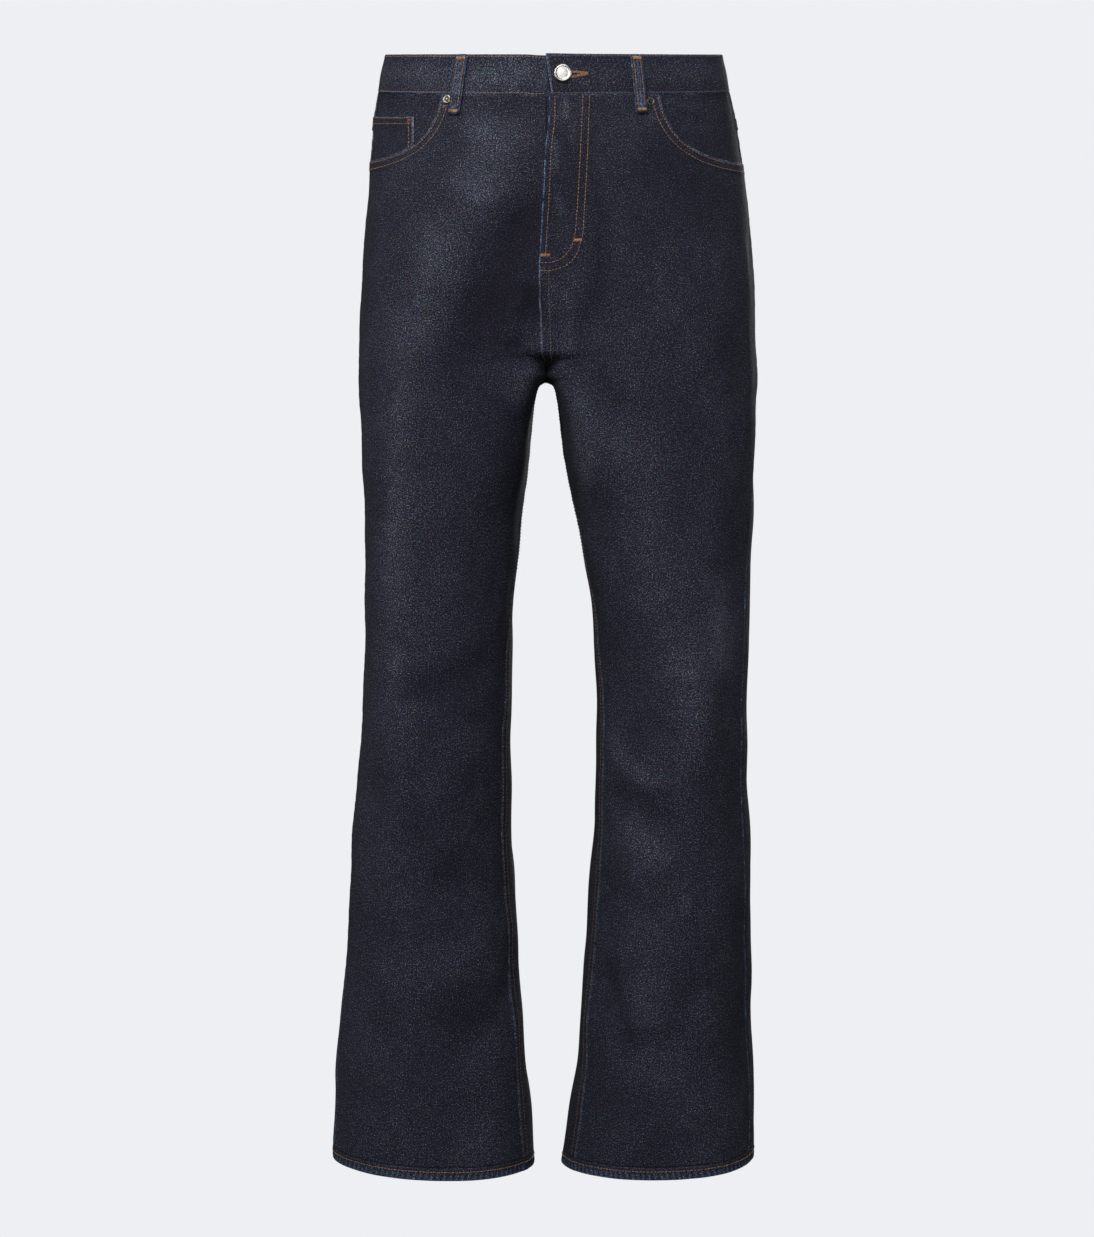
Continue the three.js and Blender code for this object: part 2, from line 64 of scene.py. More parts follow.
# %% [markdown]
# ## Camera, floor and light
# The jeans are looked at straight on from three metres with a long lens, at knee height. A pale floor and
# a background of the same shade leave no horizon. They are kept out of the cloth's own light, which comes
# from large soft lamps: one high in front, weaker ones at both sides and behind.

# %% Colours as they are written in hex
def linear(hex_colour):
    """The linear colour that Blender's sockets need."""
    parts = [int(hex_colour[i:i + 2], 16) / 255 for i in (1, 3, 5)]
    return [c / 12.92 if c <= 0.04045 else ((c + 0.055) / 1.055) ** 2.4 for c in parts] + [1.0]


# %% One helper for objects
def add(name, data):
    """A new object in the scene."""
    made = bpy.data.objects.new(name, data)
    bpy.context.scene.collection.objects.link(made)
    return made


# %% Camera
camera = add("camera", bpy.data.cameras.new("camera"))
camera.location = (0.001, -3.0, -0.45)
camera.rotation_euler = (math.radians(88.46), 0, 0)
camera.data.lens = 89.05
bpy.context.scene.camera = camera
bpy.context.scene.view_settings.view_transform = "Standard"

# %% Background and floor
PALE = "#eeeff3"
world = bpy.data.worlds.new("pale background")
bpy.context.scene.world = world
world.use_nodes = True
world.node_tree.nodes["Background"].inputs["Color"].default_value = linear(PALE)
world.cycles_visibility.diffuse = False
world.cycles_visibility.glossy = False

floor_mesh = bpy.data.meshes.new("floor")
FAR, FLOOR_Z = 20, -1.2  # metres
floor_corners = [(-FAR, -FAR, FLOOR_Z), (FAR, -FAR, FLOOR_Z), (FAR, FAR, FLOOR_Z), (-FAR, FAR, FLOOR_Z)]
floor_mesh.from_pydata(floor_corners, [], [(0, 1, 2, 3)])
floor = add("floor", floor_mesh)
floor_paint = bpy.data.materials.new("pale studio floor, lit evenly")
floor_paint.use_nodes = True
shade = floor_paint.node_tree.nodes["Principled BSDF"]
shade.inputs["Base Color"].default_value = (0, 0, 0, 1)
shade.inputs["Specular IOR Level"].default_value = 0
shade.inputs["Emission Color"].default_value = linear(PALE)
shade.inputs["Emission Strength"].default_value = 1
floor_mesh.materials.append(floor_paint)
floor.visible_diffuse = floor.visible_glossy = floor.visible_shadow = False
floor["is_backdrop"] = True

# %% Lamps
LAMPS = [  # where, how large across and up, and how strong
    ("key", (-0.9, -2.6, 1.5), 1.6, 1.6, 62),
    ("front", (0.5, -3.6, -0.3), 1.8, 2.2, 26),
    ("left side", (3.0, -0.6, 0.2), 1.6, 2.4, 16),
    ("right side", (-3.0, -0.6, 0.2), 1.6, 2.4, 16),
    ("behind", (0.6, 3.2, 0.9), 2.2, 2.0, 115),
    ("above", (0, 0, 2.4), 1.6, 1.6, 30),
]
for name, at, across, up, watts in LAMPS:
    light = bpy.data.lights.new(name, "AREA")
    light.shape = "RECTANGLE"
    light.size, light.size_y, light.energy = across, up, watts
    lamp = add(name, light)
    lamp.location = at
    aim = Vector((0, 0, -0.5)) - lamp.location
    lamp.rotation_euler = aim.to_track_quat("-Z", "Y").to_euler()
print("lamps:", len(LAMPS))

# %% [markdown]
# ## The shape that the cloth lies on
# All the solids lie on one surface, given by short tables of depths and widths at a few heights, in
# millimetres. The same tables are used here, so a piece made by these functions lands on its solid. A
# section runs from p = -2 at the centre front, or at the inside of a leg, through p = 0 at the side seam,
# to p = 2 at the centre back. side is 1 for the wearer's left half and -1 for the right one.

# %% Sizes shared with the solids
CLOTH, SEAM_GAP = 1.2, 0.3
HALF_APART = -0.12  # the solids' halves stand 0.4 mm apart; here they lap by 0.24 mm, so no light comes through
WAIST_TOP, WAIST_SEAM, CROTCH, HEM, HEM_TURN = 20.0, -16.0, -290.0, -1062.0, 12.0
FRONT_FORK, BACK_FORK = 50.0, 150.0
MM = 0.001
HANDS = ((1, "left"), (-1, "right"))

# %% Depths: height, front, back, flat share, drop in front, rise behind, tilt at the side
DEPTHS = np.array([
    (20, 97, 98, 0.14, 15, 12, 0), (-16, 101, 104, 0.16, 17, 10, 0), (-80, 108, 124, 0.24, 10, 6, 0),
    (-150, 112, 138, 0.32, 4, 2, 0), (-220, 110, 140, 0.41, 0, 0, 0), (-290, 103, 128, 0.5, 0, 0, 0),
    (-360, 97, 110, 0.5, 0, 0, 0), (-450, 91, 96, 0.5, 0, 0, 0), (-600, 87, 84, 0.5, 0, 0, 0),
    (-760, 84, 82, 0.5, 0, 0, 0), (-900, 83, 84, 0.5, 0, 0, 0), (-1062, 83, 83, 0.5, 6, 2, 3),
], float)

# %% Widths: height, outer side, inside of the leg
WIDTHS = {
    1: np.array([
        (20, 171.5, 0), (-14, 178.5, 0), (-40, 184, 0), (-66, 188, 0), (-111, 194, 0), (-170, 200, 0),
        (-228, 203, 0), (-290, 204, 0), (-297, 204, -1.0), (-302, 204, 6.8), (-317, 203, 12),
        (-336, 203, 15.5), (-375, 202, 21),
        (-454, 201, 36), (-532, 197, 46), (-611, 195, 50), (-689, 195, 49), (-768, 199, 44), (-846, 202, 39),
        (-925, 204, 32), (-1003, 205, 24), (-1062, 204, 17),
    ], float),
    -1: np.array([
        (20, 156.5, 0), (-14, 164, 0), (-40, 169, 0), (-66, 171, 0), (-111, 176, 0), (-170, 181, 0),
        (-228, 183, 0), (-290, 183, 0), (-297, 183, -1.0), (-302, 183, 6.4), (-317, 183, 12),
        (-336, 182, 15.5), (-375, 180, 19.5),
        (-454, 177, 27), (-532, 177, 34), (-611, 180, 36.5), (-689, 185, 35.5), (-768, 191, 32.5),
        (-846, 196, 29.5), (-925, 202, 24), (-1003, 206, 18), (-1062, 208, 14.5),
    ], float),
}


# %% Reading a table as a smooth curve
def read(table, z, column):
    """The value of one column at heights z, on a smooth curve through the rows."""
    heights, values = table[:, 0], table[:, column]
    slope = np.empty(len(heights))
    slope[1:-1] = (values[2:] - values[:-2]) / (heights[2:] - heights[:-2])
    slope[0] = (values[1] - values[0]) / (heights[1] - heights[0])
    slope[-1] = (values[-1] - values[-2]) / (heights[-1] - heights[-2])
    i = np.clip(np.searchsorted(-heights, -z, side="right") - 1, 0, len(heights) - 2)
    step = heights[i + 1] - heights[i]
    t = (z - heights[i]) / step
    return (values[i] * (1 + 2 * t) * (1 - t) ** 2 + values[i + 1] * t * t * (3 - 2 * t)
            + step * (slope[i] * t * (1 - t) ** 2 - slope[i + 1] * t * t * (1 - t)))


def ease(t, low=0.0, high=1.0):
    """0 below low, 1 above high, and a soft step between."""
    t = np.clip((t - low) / (high - low), 0, 1)
    return t * t * (3 - 2 * t)


# %% The surface
def squareness(z, q):
    """The power of a rounding: 2 on an ellipse, up to 6 in front at the crotch."""
    return 2 + 4 * ease(z, CROTCH - 150, CROTCH) * (1 - ease(z, CROTCH, CROTCH + 90)) * (q < 0)


def rounding(z, fork):
    """The angle that a rounding turns through: a right angle in the legs, less as the fork opens."""
    return np.where(z < CROTCH, 1, np.clip(1 - (z - CROTCH) / fork, 0.24, 1)) ** 3 * np.pi / 2


def fullness(z, angle, q):
    """How far out a rounding stands at an angle: 1 on an ellipse, more where the front is squarer."""
    power = squareness(z, q)
    return (np.abs(np.cos(angle)) ** power + np.abs(np.sin(angle)) ** power) ** (-1 / power)


def skin(side, z, p):
    """Points of the outer surface, in millimetres, for arrays of heights and p."""
    z, p = np.broadcast_arrays(np.asarray(z, float), np.asarray(p, float))
    outer = read(WIDTHS[side], z, 1)
    inner = np.where(z < CROTCH, read(WIDTHS[side], z, 2), 0)
    front, back = read(DEPTHS, z, 1), read(DEPTHS, z, 2)
    # just below the crotch only the very inside turns sharply
    soft = np.where(z > -340, 0.32 * np.clip(CROTCH - z, 0, None), inner)
    middle = np.where(z < CROTCH, (outer + soft) / 2, outer * read(DEPTHS, z, 3))
    q = np.where(p > 2, p - 4, p)
    reach = rounding(z, np.where(q < 0, FRONT_FORK, BACK_FORK))
    angle = reach * (np.abs(q) - 1)
    full = fullness(z, angle, q)
    along = full * np.sin(angle) / (fullness(z, reach, q) * np.sin(reach))
    outside = np.abs(q) <= 1
    turn = np.where(outside, q * np.pi / 2, np.sign(q) * (np.pi / 2 + angle))
    x = np.where(outside, middle + (outer - middle) * np.cos(turn),
                 middle - (middle - soft) * along + (inner - soft) * along**8)
    backwards = np.sin(turn) * np.where(outside, 1, full)
    y = (back - front) / 2 + (back + front) / 2 * backwards
    lift = np.where(backwards < 0, read(DEPTHS, z, 4), read(DEPTHS, z, 5)) * backwards
    return np.stack([side * (x + HALF_APART), y, z + lift + read(DEPTHS, z, 6) * np.cos(turn)], -1)


def facing(side, z, p):
    """The outward normals at the same points."""
    end = np.where(z < CROTCH, 3.0, 2.0)
    ahead, behind = np.minimum(p + 0.01, np.maximum(end, p)), np.maximum(p - 0.01, -2.3)
    across = skin(side, z, ahead) - skin(side, z, behind)
    up = skin(side, z + 0.4, p) - skin(side, z - 0.4, p)
    normal = np.cross(across, up) * side
    return normal / np.linalg.norm(normal, axis=-1, keepdims=True)


def surface(side, z, p):
    """The points and their normals."""
    return skin(side, z, p), facing(side, z, p)


def run(points):
    """Length along rows of points, from 0."""
    steps = np.linalg.norm(np.diff(points, axis=-2), axis=-1)
    return np.concatenate([np.zeros(steps.shape[:-1] + (1,)), np.cumsum(steps, -1)], -1)


def girth(z):
    """The length all round both halves at a height."""
    return sum(run(skin(side, z, np.linspace(-2, 2, 401)))[-1] for side in (1, -1))


print("hip girth:", round(girth(-230.0)))

# %% [markdown]
# ## Folds
# Cloth that hangs on a figure folds where the body bends and where it is pulled. The main folds are placed
# as bent lines on the front and on the back, each with its own height, width and length, because
# evenly spread waves look like card. A little seeded unevenness lies over the whole of it.

# %% Bent lines
def bend(corners, count=15):
    """A smooth line through a few corner points."""
    c = np.array(corners, float)
    c = np.vstack([2 * c[0] - c[1], c, 2 * c[-1] - c[-2]])
    made = []
    for a, b, d, e in zip(c, c[1:], c[2:], c[3:]):
        for t in np.arange(count) / count:
            square, cube = 2 * a - 5 * b + 4 * d - e, 3 * b - 3 * d + e - a
            made.append(0.5 * (2 * b + (d - a) * t + square * t**2 + cube * t**3))
    return np.array(made + [c[-2]])


def near(points, line, reach):
    """Distance of each point from a line, no more than reach, and the length along the line to that spot."""
    flat = points.reshape(-1, points.shape[-1])
    distance, at = np.full(len(flat), float(reach)), np.zeros(len(flat))
    close = np.flatnonzero(((flat > line.min(0) - reach) & (flat < line.max(0) + reach)).all(1))
    length = run(line)
    ahead = np.gradient(line, axis=0)
    ahead /= np.linalg.norm(ahead, axis=1, keepdims=True) + 1e-9
    for part in np.array_split(close, max(1, len(close) * len(line) // 3_000_000)):
        if len(part) == 0:
            continue
        apart = flat[part, None, :] - line[None]
        k = (apart**2).sum(-1).argmin(1)
        apart = apart[np.arange(len(part)), k]
        forward = (apart * ahead[k]).sum(1)
        inner = (k > 0) & (k < len(line) - 1)
        forward = np.where(inner, forward, np.clip(forward, *np.where(k == 0, [[0], [9e9]], [[-9e9], [0]])))
        distance[part] = np.minimum(reach, np.linalg.norm(apart - forward[:, None] * ahead[k], axis=1))
        at[part] = length[k] + forward
    return distance.reshape(points.shape[:-1]), at.reshape(points.shape[:-1])


def wander(t, seed, step):
    """Smooth seeded noise along a length, from -1 to 1, with a new value every step."""
    values = np.random.RandomState(seed).uniform(-1, 1, 4096)
    k = np.floor(t / step)
    share = ease(t / step - k)
    k = k.astype(int) % 4095
    return values[k] * (1 - share) + values[k + 1] * share


# %% Folds in front: corner points (x, z), height, half width; a trough has a negative height
FRONT_FOLDS = [
    # the wearer's right half: the ridge down the leg, and the trough that runs from the fly to the thigh
    ([(-98, -110), (-118, -220), (-136, -330), (-141, -520), (-141, -690), (-138, -870)], 5.5, 24),
    ([(-60, -40), (-85, -120), (-108, -225)], 4.5, 42),
    ([(-4, -112), (-30, -170), (-58, -235), (-84, -330)], -8.0, 27),
    ([(-8, -215), (-20, -262), (-34, -320), (-40, -400)], -4.0, 18),
    ([(-36, -262), (-16, -282), (-6, -286)], -3.0, 9),
    ([(-30, -470), (-78, -520), (-104, -600)], -3.0, 26),
    ([(-46, -560), (-84, -590), (-128, -606)], -4.0, 18),
    ([(-50, -640), (-84, -668), (-118, -720)], 2.6, 20),
    ([(-44, -705), (-72, -760), (-104, -812)], -3.6, 20),
    ([(-40, -800), (-70, -850), (-112, -900)], 2.4, 22),
    ([(-30, -872), (-62, -930), (-94, -965)], -3.6, 18),
    ([(-160, -620), (-172, -760), (-178, -930)], -2.0, 16),
    # the wearer's left half: folds beside the fly, the long soft ridge and the bent knee
    ([(54, -105), (53, -180), (50, -270)], -3.8, 9),
    ([(24, -190), (23, -240), (20, -300)], 2.4, 8),
    ([(38, -225), (34, -262), (30, -310)], -1.8, 6),
    ([(88, -120), (90, -230), (82, -330), (78, -440), (92, -560)], 4.0, 34),
    ([(14, -268), (40, -300), (92, -345)], -2.2, 12),
    ([(26, -330), (66, -372), (120, -392)], 1.6, 14),
    ([(118, -556), (144, -600), (148, -640), (138, -690)], 4.0, 13),
    ([(58, -628), (72, -665), (96, -686), (126, -688)], 4.2, 12),
    ([(72, -580), (104, -610), (112, -655)], -4.2, 24),
    ([(52, -690), (88, -712), (134, -730)], -3.0, 13),
    ([(62, -718), (88, -746), (124, -778)], 3.6, 15),
    ([(48, -770), (84, -800), (120, -816)], -2.6, 14),
    ([(134, -776), (136, -800), (133, -822)], 1.8, 6),
    ([(70, -830), (98, -880), (104, -945)], 3.4, 26),
    ([(50, -850), (66, -900), (80, -945), (86, -980)], -4.2, 9),
    ([(150, -868), (132, -905), (108, -950)], -3.0, 14),
    ([(168, -420), (172, -600), (176, -800)], -2.2, 18),
    # short pulls from the ends of the pocket mouths and below the band
    ([(112, -34), (132, -42), (158, -40)], 1.3, 6),
    ([(118, -50), (140, -56), (164, -52)], -1.0, 6),
    ([(-98, -60), (-84, -82), (-62, -100)], -1.4, 9),
    ([(-30, -30), (-34, -62), (-46, -90)], -1.2, 8),
    ([(-66, -30), (-70, -60), (-76, -84)], 1.0, 8),
    ([(76, -30), (72, -66), (76, -100)], -1.1, 8),
]

# %% Folds behind, made like the ones in front
BACK_FOLDS = [
    ([(-10, -130), (-40, -180), (-96, -236), (-150, -262)], -3.2, 20),
    ([(12, -150), (50, -205), (104, -240), (160, -254)], -3.6, 18),
    ([(-20, -262), (-62, -292), (-118, -300), (-168, -290)], -4.6, 15),
    ([(22, -270), (66, -300), (120, -312), (172, -300)], -5.0, 16),
    ([(-26, -320), (-76, -344), (-140, -350)], 3.2, 17),
    ([(28, -330), (80, -356), (150, -352)], 3.4, 18),
    ([(-30, -366), (-82, -392), (-150, -380)], -3.0, 16),
    ([(36, -380), (90, -398), (140, -420)], -2.4, 14),
    ([(-98, -400), (-106, -520), (-100, -640)], 3.6, 26),
    ([(112, -420), (118, -540), (112, -650)], 4.2, 28),
    ([(-44, -560), (-84, -590), (-150, -584)], -4.4, 13),
    ([(-50, -606), (-96, -632), (-156, -640)], 3.4, 13),
    ([(-44, -640), (-92, -668), (-140, -690)], -3.4, 12),
    ([(58, -572), (100, -596), (164, -604)], -4.0, 14),
    ([(60, -620), (110, -640), (168, -632)], 3.2, 13),
    ([(58, -664), (104, -680), (160, -706)], -3.6, 13),
    ([(-58, -712), (-100, -740), (-146, -780)], 2.6, 16),
    ([(70, -730), (110, -770), (130, -830)], 2.8, 17),
    ([(-104, -760), (-116, -880), (-112, -1000)], 3.6, 28),
    ([(116, -800), (126, -900), (122, -1010)], 3.4, 28),
    ([(-48, -850), (-72, -910), (-88, -980)], -3.2, 14),
    ([(44, -870), (70, -930), (84, -1000)], -3.4, 14),
    ([(160, -700), (172, -820), (176, -960)], -2.0, 16),
    ([(-160, -690), (-170, -830), (-178, -960)], -2.0, 16),
    ([(-70, -60), (-76, -78), (-92, -88)], -0.8, 7),
    ([(84, -58), (92, -80), (110, -90)], -0.9, 7),
]
BENT_FOLDS = {
    -1: [(bend(corners), height, half) for corners, height, half in FRONT_FOLDS],
    1: [(bend(corners), height, half) for corners, height, half in BACK_FOLDS],
}
print("folds:", len(FRONT_FOLDS), "in front and", len(BACK_FOLDS), "behind")

# %% Unevenness of the whole cloth
waves = np.random.RandomState(7)
WAVES = []
LENGTHS = [(230, 0.9), (170, 0.8), (130, 0.6), (95, 0.45), (70, 0.3), (46, 0.16), (33, 0.12), (24, 0.08)]
for length, height in LENGTHS:
    for _ in range(3):
        way = waves.normal(size=3) * (1.4, 1.4, 0.8)
        WAVES.append((way / np.linalg.norm(way) * 2 * np.pi / length, waves.uniform(0, 6.28), height))


def line_effect(points, lines, face_on):
    """Sum of soft ridges and troughs along bent lines, seen from the front or from behind."""
    total = np.zeros(points.shape[:-1])
    flat = points[..., [0, 2]]
    for line, height, half in lines:
        distance, at = near(flat, line, 2.6 * half)
        share = at / run(line)[-1]
        taper = ease(share, -0.02, 0.28) * ease(1 - share, -0.02, 0.28)
        total += height * np.exp(-(distance / half) ** 2) * taper * (distance < 2.6 * half)
    return total * face_on


def folds(side, z, p):
    """How far the folds lift the cloth off the even surface."""
    points, out = surface(side, z, p)
    total = sum(height * np.sin(points @ way + phase) for way, phase, height in WAVES)
    quiet = 0.35 + 0.65 * ease(WAIST_SEAM - 30 - points[..., 2], 0, 120)
    total = total * quiet
    for face in (-1, 1):
        total += line_effect(points, BENT_FOLDS[face], ease(out[..., 1] * face, 0.12, 0.6))
    calm = ease(-points[..., 2], -4, 40)
    fork = np.hypot(points[..., 0], points[..., 2] - CROTCH)  # the legs' cloth meets here
    return total * (0.15 + 0.85 * calm) * (1 - 0.95 * np.exp(-((fork / 16) ** 2)))


# %% [markdown]
# ## From a grid of points to a closed shell
# A piece of cloth has an outer and an inner face, 1.2 mm apart, joined by a rounded rim. The outer grid is
# fine, because folds and puckers show on it. The inner one keeps every second row and column. Each point
# stores where it lies on the flat cut in millimetres, so that the weave follows the cloth, how worn it is,
# and its fade together with the painted light and painted shade of the zones and folds.

# %% Shell
def quads(ids, flipped=False):
    """Four-sided faces between the neighbours in a grid of point numbers."""
    corners = [ids[:-1, :-1], ids[:-1, 1:], ids[1:, 1:], ids[1:, :-1]]
    if flipped:
        corners = [corners[k] for k in (0, 3, 2, 1)]
    return np.stack(corners, -1).reshape(-1, 4).tolist()


def shell(outer, inner):
    """Points and faces of a closed shell. outer is (rows, columns, 3); inner is every second of both."""
    rows, columns = outer.shape[:2]
    ids = np.arange(rows * columns).reshape(rows, columns)
    inner_ids = rows * columns + np.arange(inner.shape[0] * inner.shape[1]).reshape(inner.shape[:2])
    rims = [(ids[0], inner_ids[0], False), (ids[-1], inner_ids[-1], True),
            (ids[:, 0], inner_ids[:, 0], True), (ids[:, -1], inner_ids[:, -1], False)]
    rim = []
    for f, c, turned in rims:
        for k in range(len(c) - 1):
            before, between, after = f[2 * k:2 * k + 3]
            three = [(before, between, c[k]), (between, c[k + 1], c[k]), (between, after, c[k + 1])]
            rim += [t[::-1] if turned else t for t in three]
    points = np.vstack([outer.reshape(-1, 3), inner.reshape(-1, 3)])
    return points, quads(ids, flipped=True), quads(inner_ids), [tuple(int(v) for v in t) for t in rim]


def volume(points, faces):
    """Six times the volume that the faces enclose: negative where they face inwards."""
    total = 0.0
    for corners in (3, 4):
        chosen = np.array([f for f in faces if len(f) == corners])
        if len(chosen) == 0:
            continue
        for k in range(1, corners - 1):
            a, b, c = (points[chosen[:, i]] for i in (0, k, k + 1))
            total += (a * np.cross(b, c)).sum()
    return total


PIECES = {}


def build(name, points, faces, materials, which=None, marks=None):
    """A mesh piece at the origin from points in millimetres. marks are values stored on the points."""
    if volume(points, faces) < 0:
        faces = [f[::-1] for f in faces]
    mesh = bpy.data.meshes.new(name)
    mesh.from_pydata((points * MM).tolist(), [], [list(f) for f in faces])
    for material in materials:
        mesh.materials.append(material)
    mesh.polygons.foreach_set("use_smooth", [True] * len(faces))
    if which is not None:
        mesh.polygons.foreach_set("material_index", which)
    for key, values in (marks or {}).items():
        kind, field = ("FLOAT_VECTOR", "vector") if values.ndim == 2 else ("FLOAT", "value")
        mesh.attributes.new(key, kind, "POINT").data.foreach_set(field, values.astype(np.float32).ravel())
    mesh.update()
    PIECES[name] = piece = add(name, mesh)
    return piece


# %% A rounded rim
def rim_drop(distance, radius):
    """How far the outer face has sunk at a distance from the edge, where the cloth turns round."""
    left = np.clip(radius - distance, 0, radius)
    return radius - np.sqrt(radius**2 - left**2)


def lowest(lift):
    """The smallest lift within one row and column, so that the coarse inner face stays behind the outer."""
    wide = np.pad(lift, 1, mode="edge")
    rows, columns = lift.shape
    return np.min([wide[i:i + rows, k:k + columns] for i in range(3) for k in range(3)], axis=0)

# %% [markdown]
# ## Denim, thread and metal
# Rigid denim is a twill: indigo warp threads on the face with undyed weft showing between them. Seen from
# three metres the diagonal ribs melt into a fine grey speckle with long uneven streaks of thicker warp
# thread. Where an edge is folded or a ridge rubs, the dye has gone from the tops of the threads and pale blue
# shows. The pattern is set in millimetres of cloth; ribs of 0.8 mm would vanish here, so they are drawn at
# about twice that.

# %% One helper for nodes
def plug(tree, made, inputs):
    """Each input of a node set to a value or linked to a socket."""
    for key, value in inputs.items():
        if isinstance(value, bpy.types.NodeSocket):
            tree.links.new(value, made.inputs[key])
        else:
            made.inputs[key].default_value = value


def node(tree, kind, inputs=None, **settings):
    """A node with its settings, and each input set to a value or linked to a socket."""
    made = tree.nodes.new(kind)
    for key, value in settings.items():
        setattr(made, key, value)
    plug(tree, made, inputs or {})
    return made


def maths(tree, operation, *values, **settings):
    """One step of arithmetic with numbers and sockets."""
    return node(tree, "ShaderNodeMath", dict(enumerate(values)), operation=operation, **settings).outputs[0]


def noise(tree, where, scale, detail, rough=0.5, output="Fac"):
    return node(tree, "ShaderNodeTexNoise", {"Vector": where, "Scale": scale, "Detail": detail,
                                             "Roughness": rough}).outputs[output]


def bumped(tree, height, strength, distance_mm):
    return node(tree, "ShaderNodeBump", {"Height": height, "Strength": strength,
                                         "Distance": distance_mm * MM}).outputs["Normal"]


def material(name):
    """An empty material: its tree and its shader."""
    made = bpy.data.materials.new(name)
    made.use_nodes = True
    made.node_tree.nodes.clear()
    shader = made.node_tree.nodes.new("ShaderNodeBsdfPrincipled")
    node(made.node_tree, "ShaderNodeOutputMaterial", {"Surface": shader.outputs["BSDF"]})
    return made, made.node_tree, shader


def ramp(tree, fac, stops):
    """A colour ramp from (place, hex colour) stops."""
    made = node(tree, "ShaderNodeValToRGB", {"Fac": fac})
    band = made.color_ramp
    while len(band.elements) < len(stops):
        band.elements.new(0.5)
    for element, (place, colour) in zip(band.elements, stops):
        element.position, element.color = place, linear(colour)
    return made.outputs["Color"]


# %% Denim, face side and inside
def denim(name, stops, worn, bump_mm):
    """stops colour the yarns from the darkest to the palest; worn does the same for rubbed edges."""
    made, tree, shader = material(name)
    cloth_mm, wear, fade = (node(tree, "ShaderNodeAttribute", attribute_name=key).outputs[kind]
                            for key, kind in (("cloth", "Vector"), ("wear", "Fac"), ("fade", "Fac")))

    def yarn(per_mm, detail, rough):
        scaled = node(tree, "ShaderNodeVectorMath", {0: cloth_mm, 1: per_mm}, operation="MULTIPLY").outputs[0]
        return noise(tree, scaled, 1.0, detail, rough)

    def sum_of(*terms):
        total = 0.0
        for value, share in terms:
            total = maths(tree, "MULTIPLY_ADD", value, share, total)
        return total

    grain = yarn((0.84, 0.76, 1), 2.0, 0.7)  # crossings of warp and weft, drawn 1.2 by 1.3 mm
    blot = yarn((0.1, 0.06, 1), 3.0, 0.65)  # a fade is broken up by the cloth's own unevenness
    slub = yarn((0.5, 0.06, 1), 3.0, 0.6)  # thick places in the warp, 2 mm wide and some 17 mm long
    weft = yarn((0.08, 0.5, 1), 2.0, 0.6)  # the same in the weft, across
    cloud = yarn((0.02, 0.014, 1), 3.0, 0.55)  # uneven washing, 50 mm and more
    along = node(tree, "ShaderNodeVectorMath", {0: cloth_mm, 1: (1.9, 2.9, 0)},
                 operation="DOT_PRODUCT").outputs["Value"]
    rib = maths(tree, "SINE", along)
    # The stored fade value holds faded dye together with painted light and painted shade; blot breaks them up
    # alike.
    broken = maths(tree, "MULTIPLY_ADD", blot, 1.5, 0.25)
    fade_and_painted_light_broken = maths(tree, "MULTIPLY", fade, broken)
    tone = sum_of((grain, 0.88), (slub, 0.1), (weft, 0.08), (cloud, 0.08), (rib, 0.01), (fade_and_painted_light_broken, 0.06))
    dyes = noise(tree, cloth_mm, 0.15, 4.0, 0.85, "Color")
    yarns = node(tree, "ShaderNodeMix", {0: 0.5, 6: ramp(tree, tone, stops), 7: dyes}, data_type="RGBA",
                 blend_type="OVERLAY").outputs[2]
    rubbed = maths(tree, "MULTIPLY_ADD", grain, 2.4, -0.45)
    rubbed = maths(tree, "MULTIPLY", wear, rubbed, use_clamp=True)
    rubbed_yarns = ramp(tree, grain, worn)
    colour = node(tree, "ShaderNodeMix", {0: rubbed, 6: yarns, 7: rubbed_yarns}, data_type="RGBA").outputs[2]
    height = sum_of((grain, 0.6), (slub, 0.5), (rib, 0.12))
    plug(tree, shader, {
        "Base Color": colour, "Normal": bumped(tree, height, 1.0, bump_mm), "Roughness": 0.88,
        "Specular IOR Level": 0.15, "Sheen Weight": 0.02, "Sheen Roughness": 0.5})
    return made


DENIM = denim("rigid indigo denim, face", [
    (0.405, "#16151d"), (0.535, "#201e2a"), (0.615, "#2f303e"), (0.7, "#565c6b"), (0.815, "#a0a2ac"),
], [(0.36, "#2f4669"), (0.5, "#54749f"), (0.62, "#93aaca"), (0.72, "#c9d4e2")], 0.35)
DENIM_INSIDE = denim("rigid indigo denim, inside", [
    (0.4, "#3a4254"), (0.56, "#6a7384"), (0.71, "#9aa1ab"), (0.86, "#c2c5c8"),
], [(0.4, "#8f9bb0"), (0.65, "#c3c9d2")], 0.3)


# %% Thread
def spun_thread(name, dark, pale):
    """Core-spun polyester sewing thread: a soft gloss, and a little lighter and darker along its length."""
    made, tree, shader = material(name)
    where = node(tree, "ShaderNodeTexCoord").outputs["Object"]
    uneven = noise(tree, where, 420.0, 2.0)
    plug(tree, shader, {
        "Base Color": ramp(tree, uneven, [(0.3, dark), (0.7, pale)]),
        "Normal": bumped(tree, uneven, 0.6, 0.15), "Roughness": 0.55, "Sheen Weight": 0.2})
    return made


THREAD = spun_thread("copper polyester thread", "#7a4e2d", "#c9986a")
THREAD_DARK = spun_thread("dull copper polyester thread", "#4a3730", "#8a6a56")


# %% Metal
def cast_metal(name, dark, pale, roughness, grit_mm):
    """Cast zinc with a plated and tumbled finish: small pits and a soft gloss."""
    made, tree, shader = material(name)
    where = node(tree, "ShaderNodeTexCoord").outputs["Object"]
    grit, patches = noise(tree, where, 1000 / grit_mm, 3.0), noise(tree, where, 260.0, 2.0)
    colour = ramp(tree, patches, [(0.35, dark), (0.65, pale)])
    gloss = {"Value": grit, "To Min": roughness - 0.08, "To Max": roughness + 0.1}
    worn = node(tree, "ShaderNodeMapRange", gloss).outputs["Result"]
    plug(tree, shader, {"Base Color": colour, "Roughness": worn,
                        "Normal": bumped(tree, grit, 0.35, 0.05), "Metallic": 1})
    return made


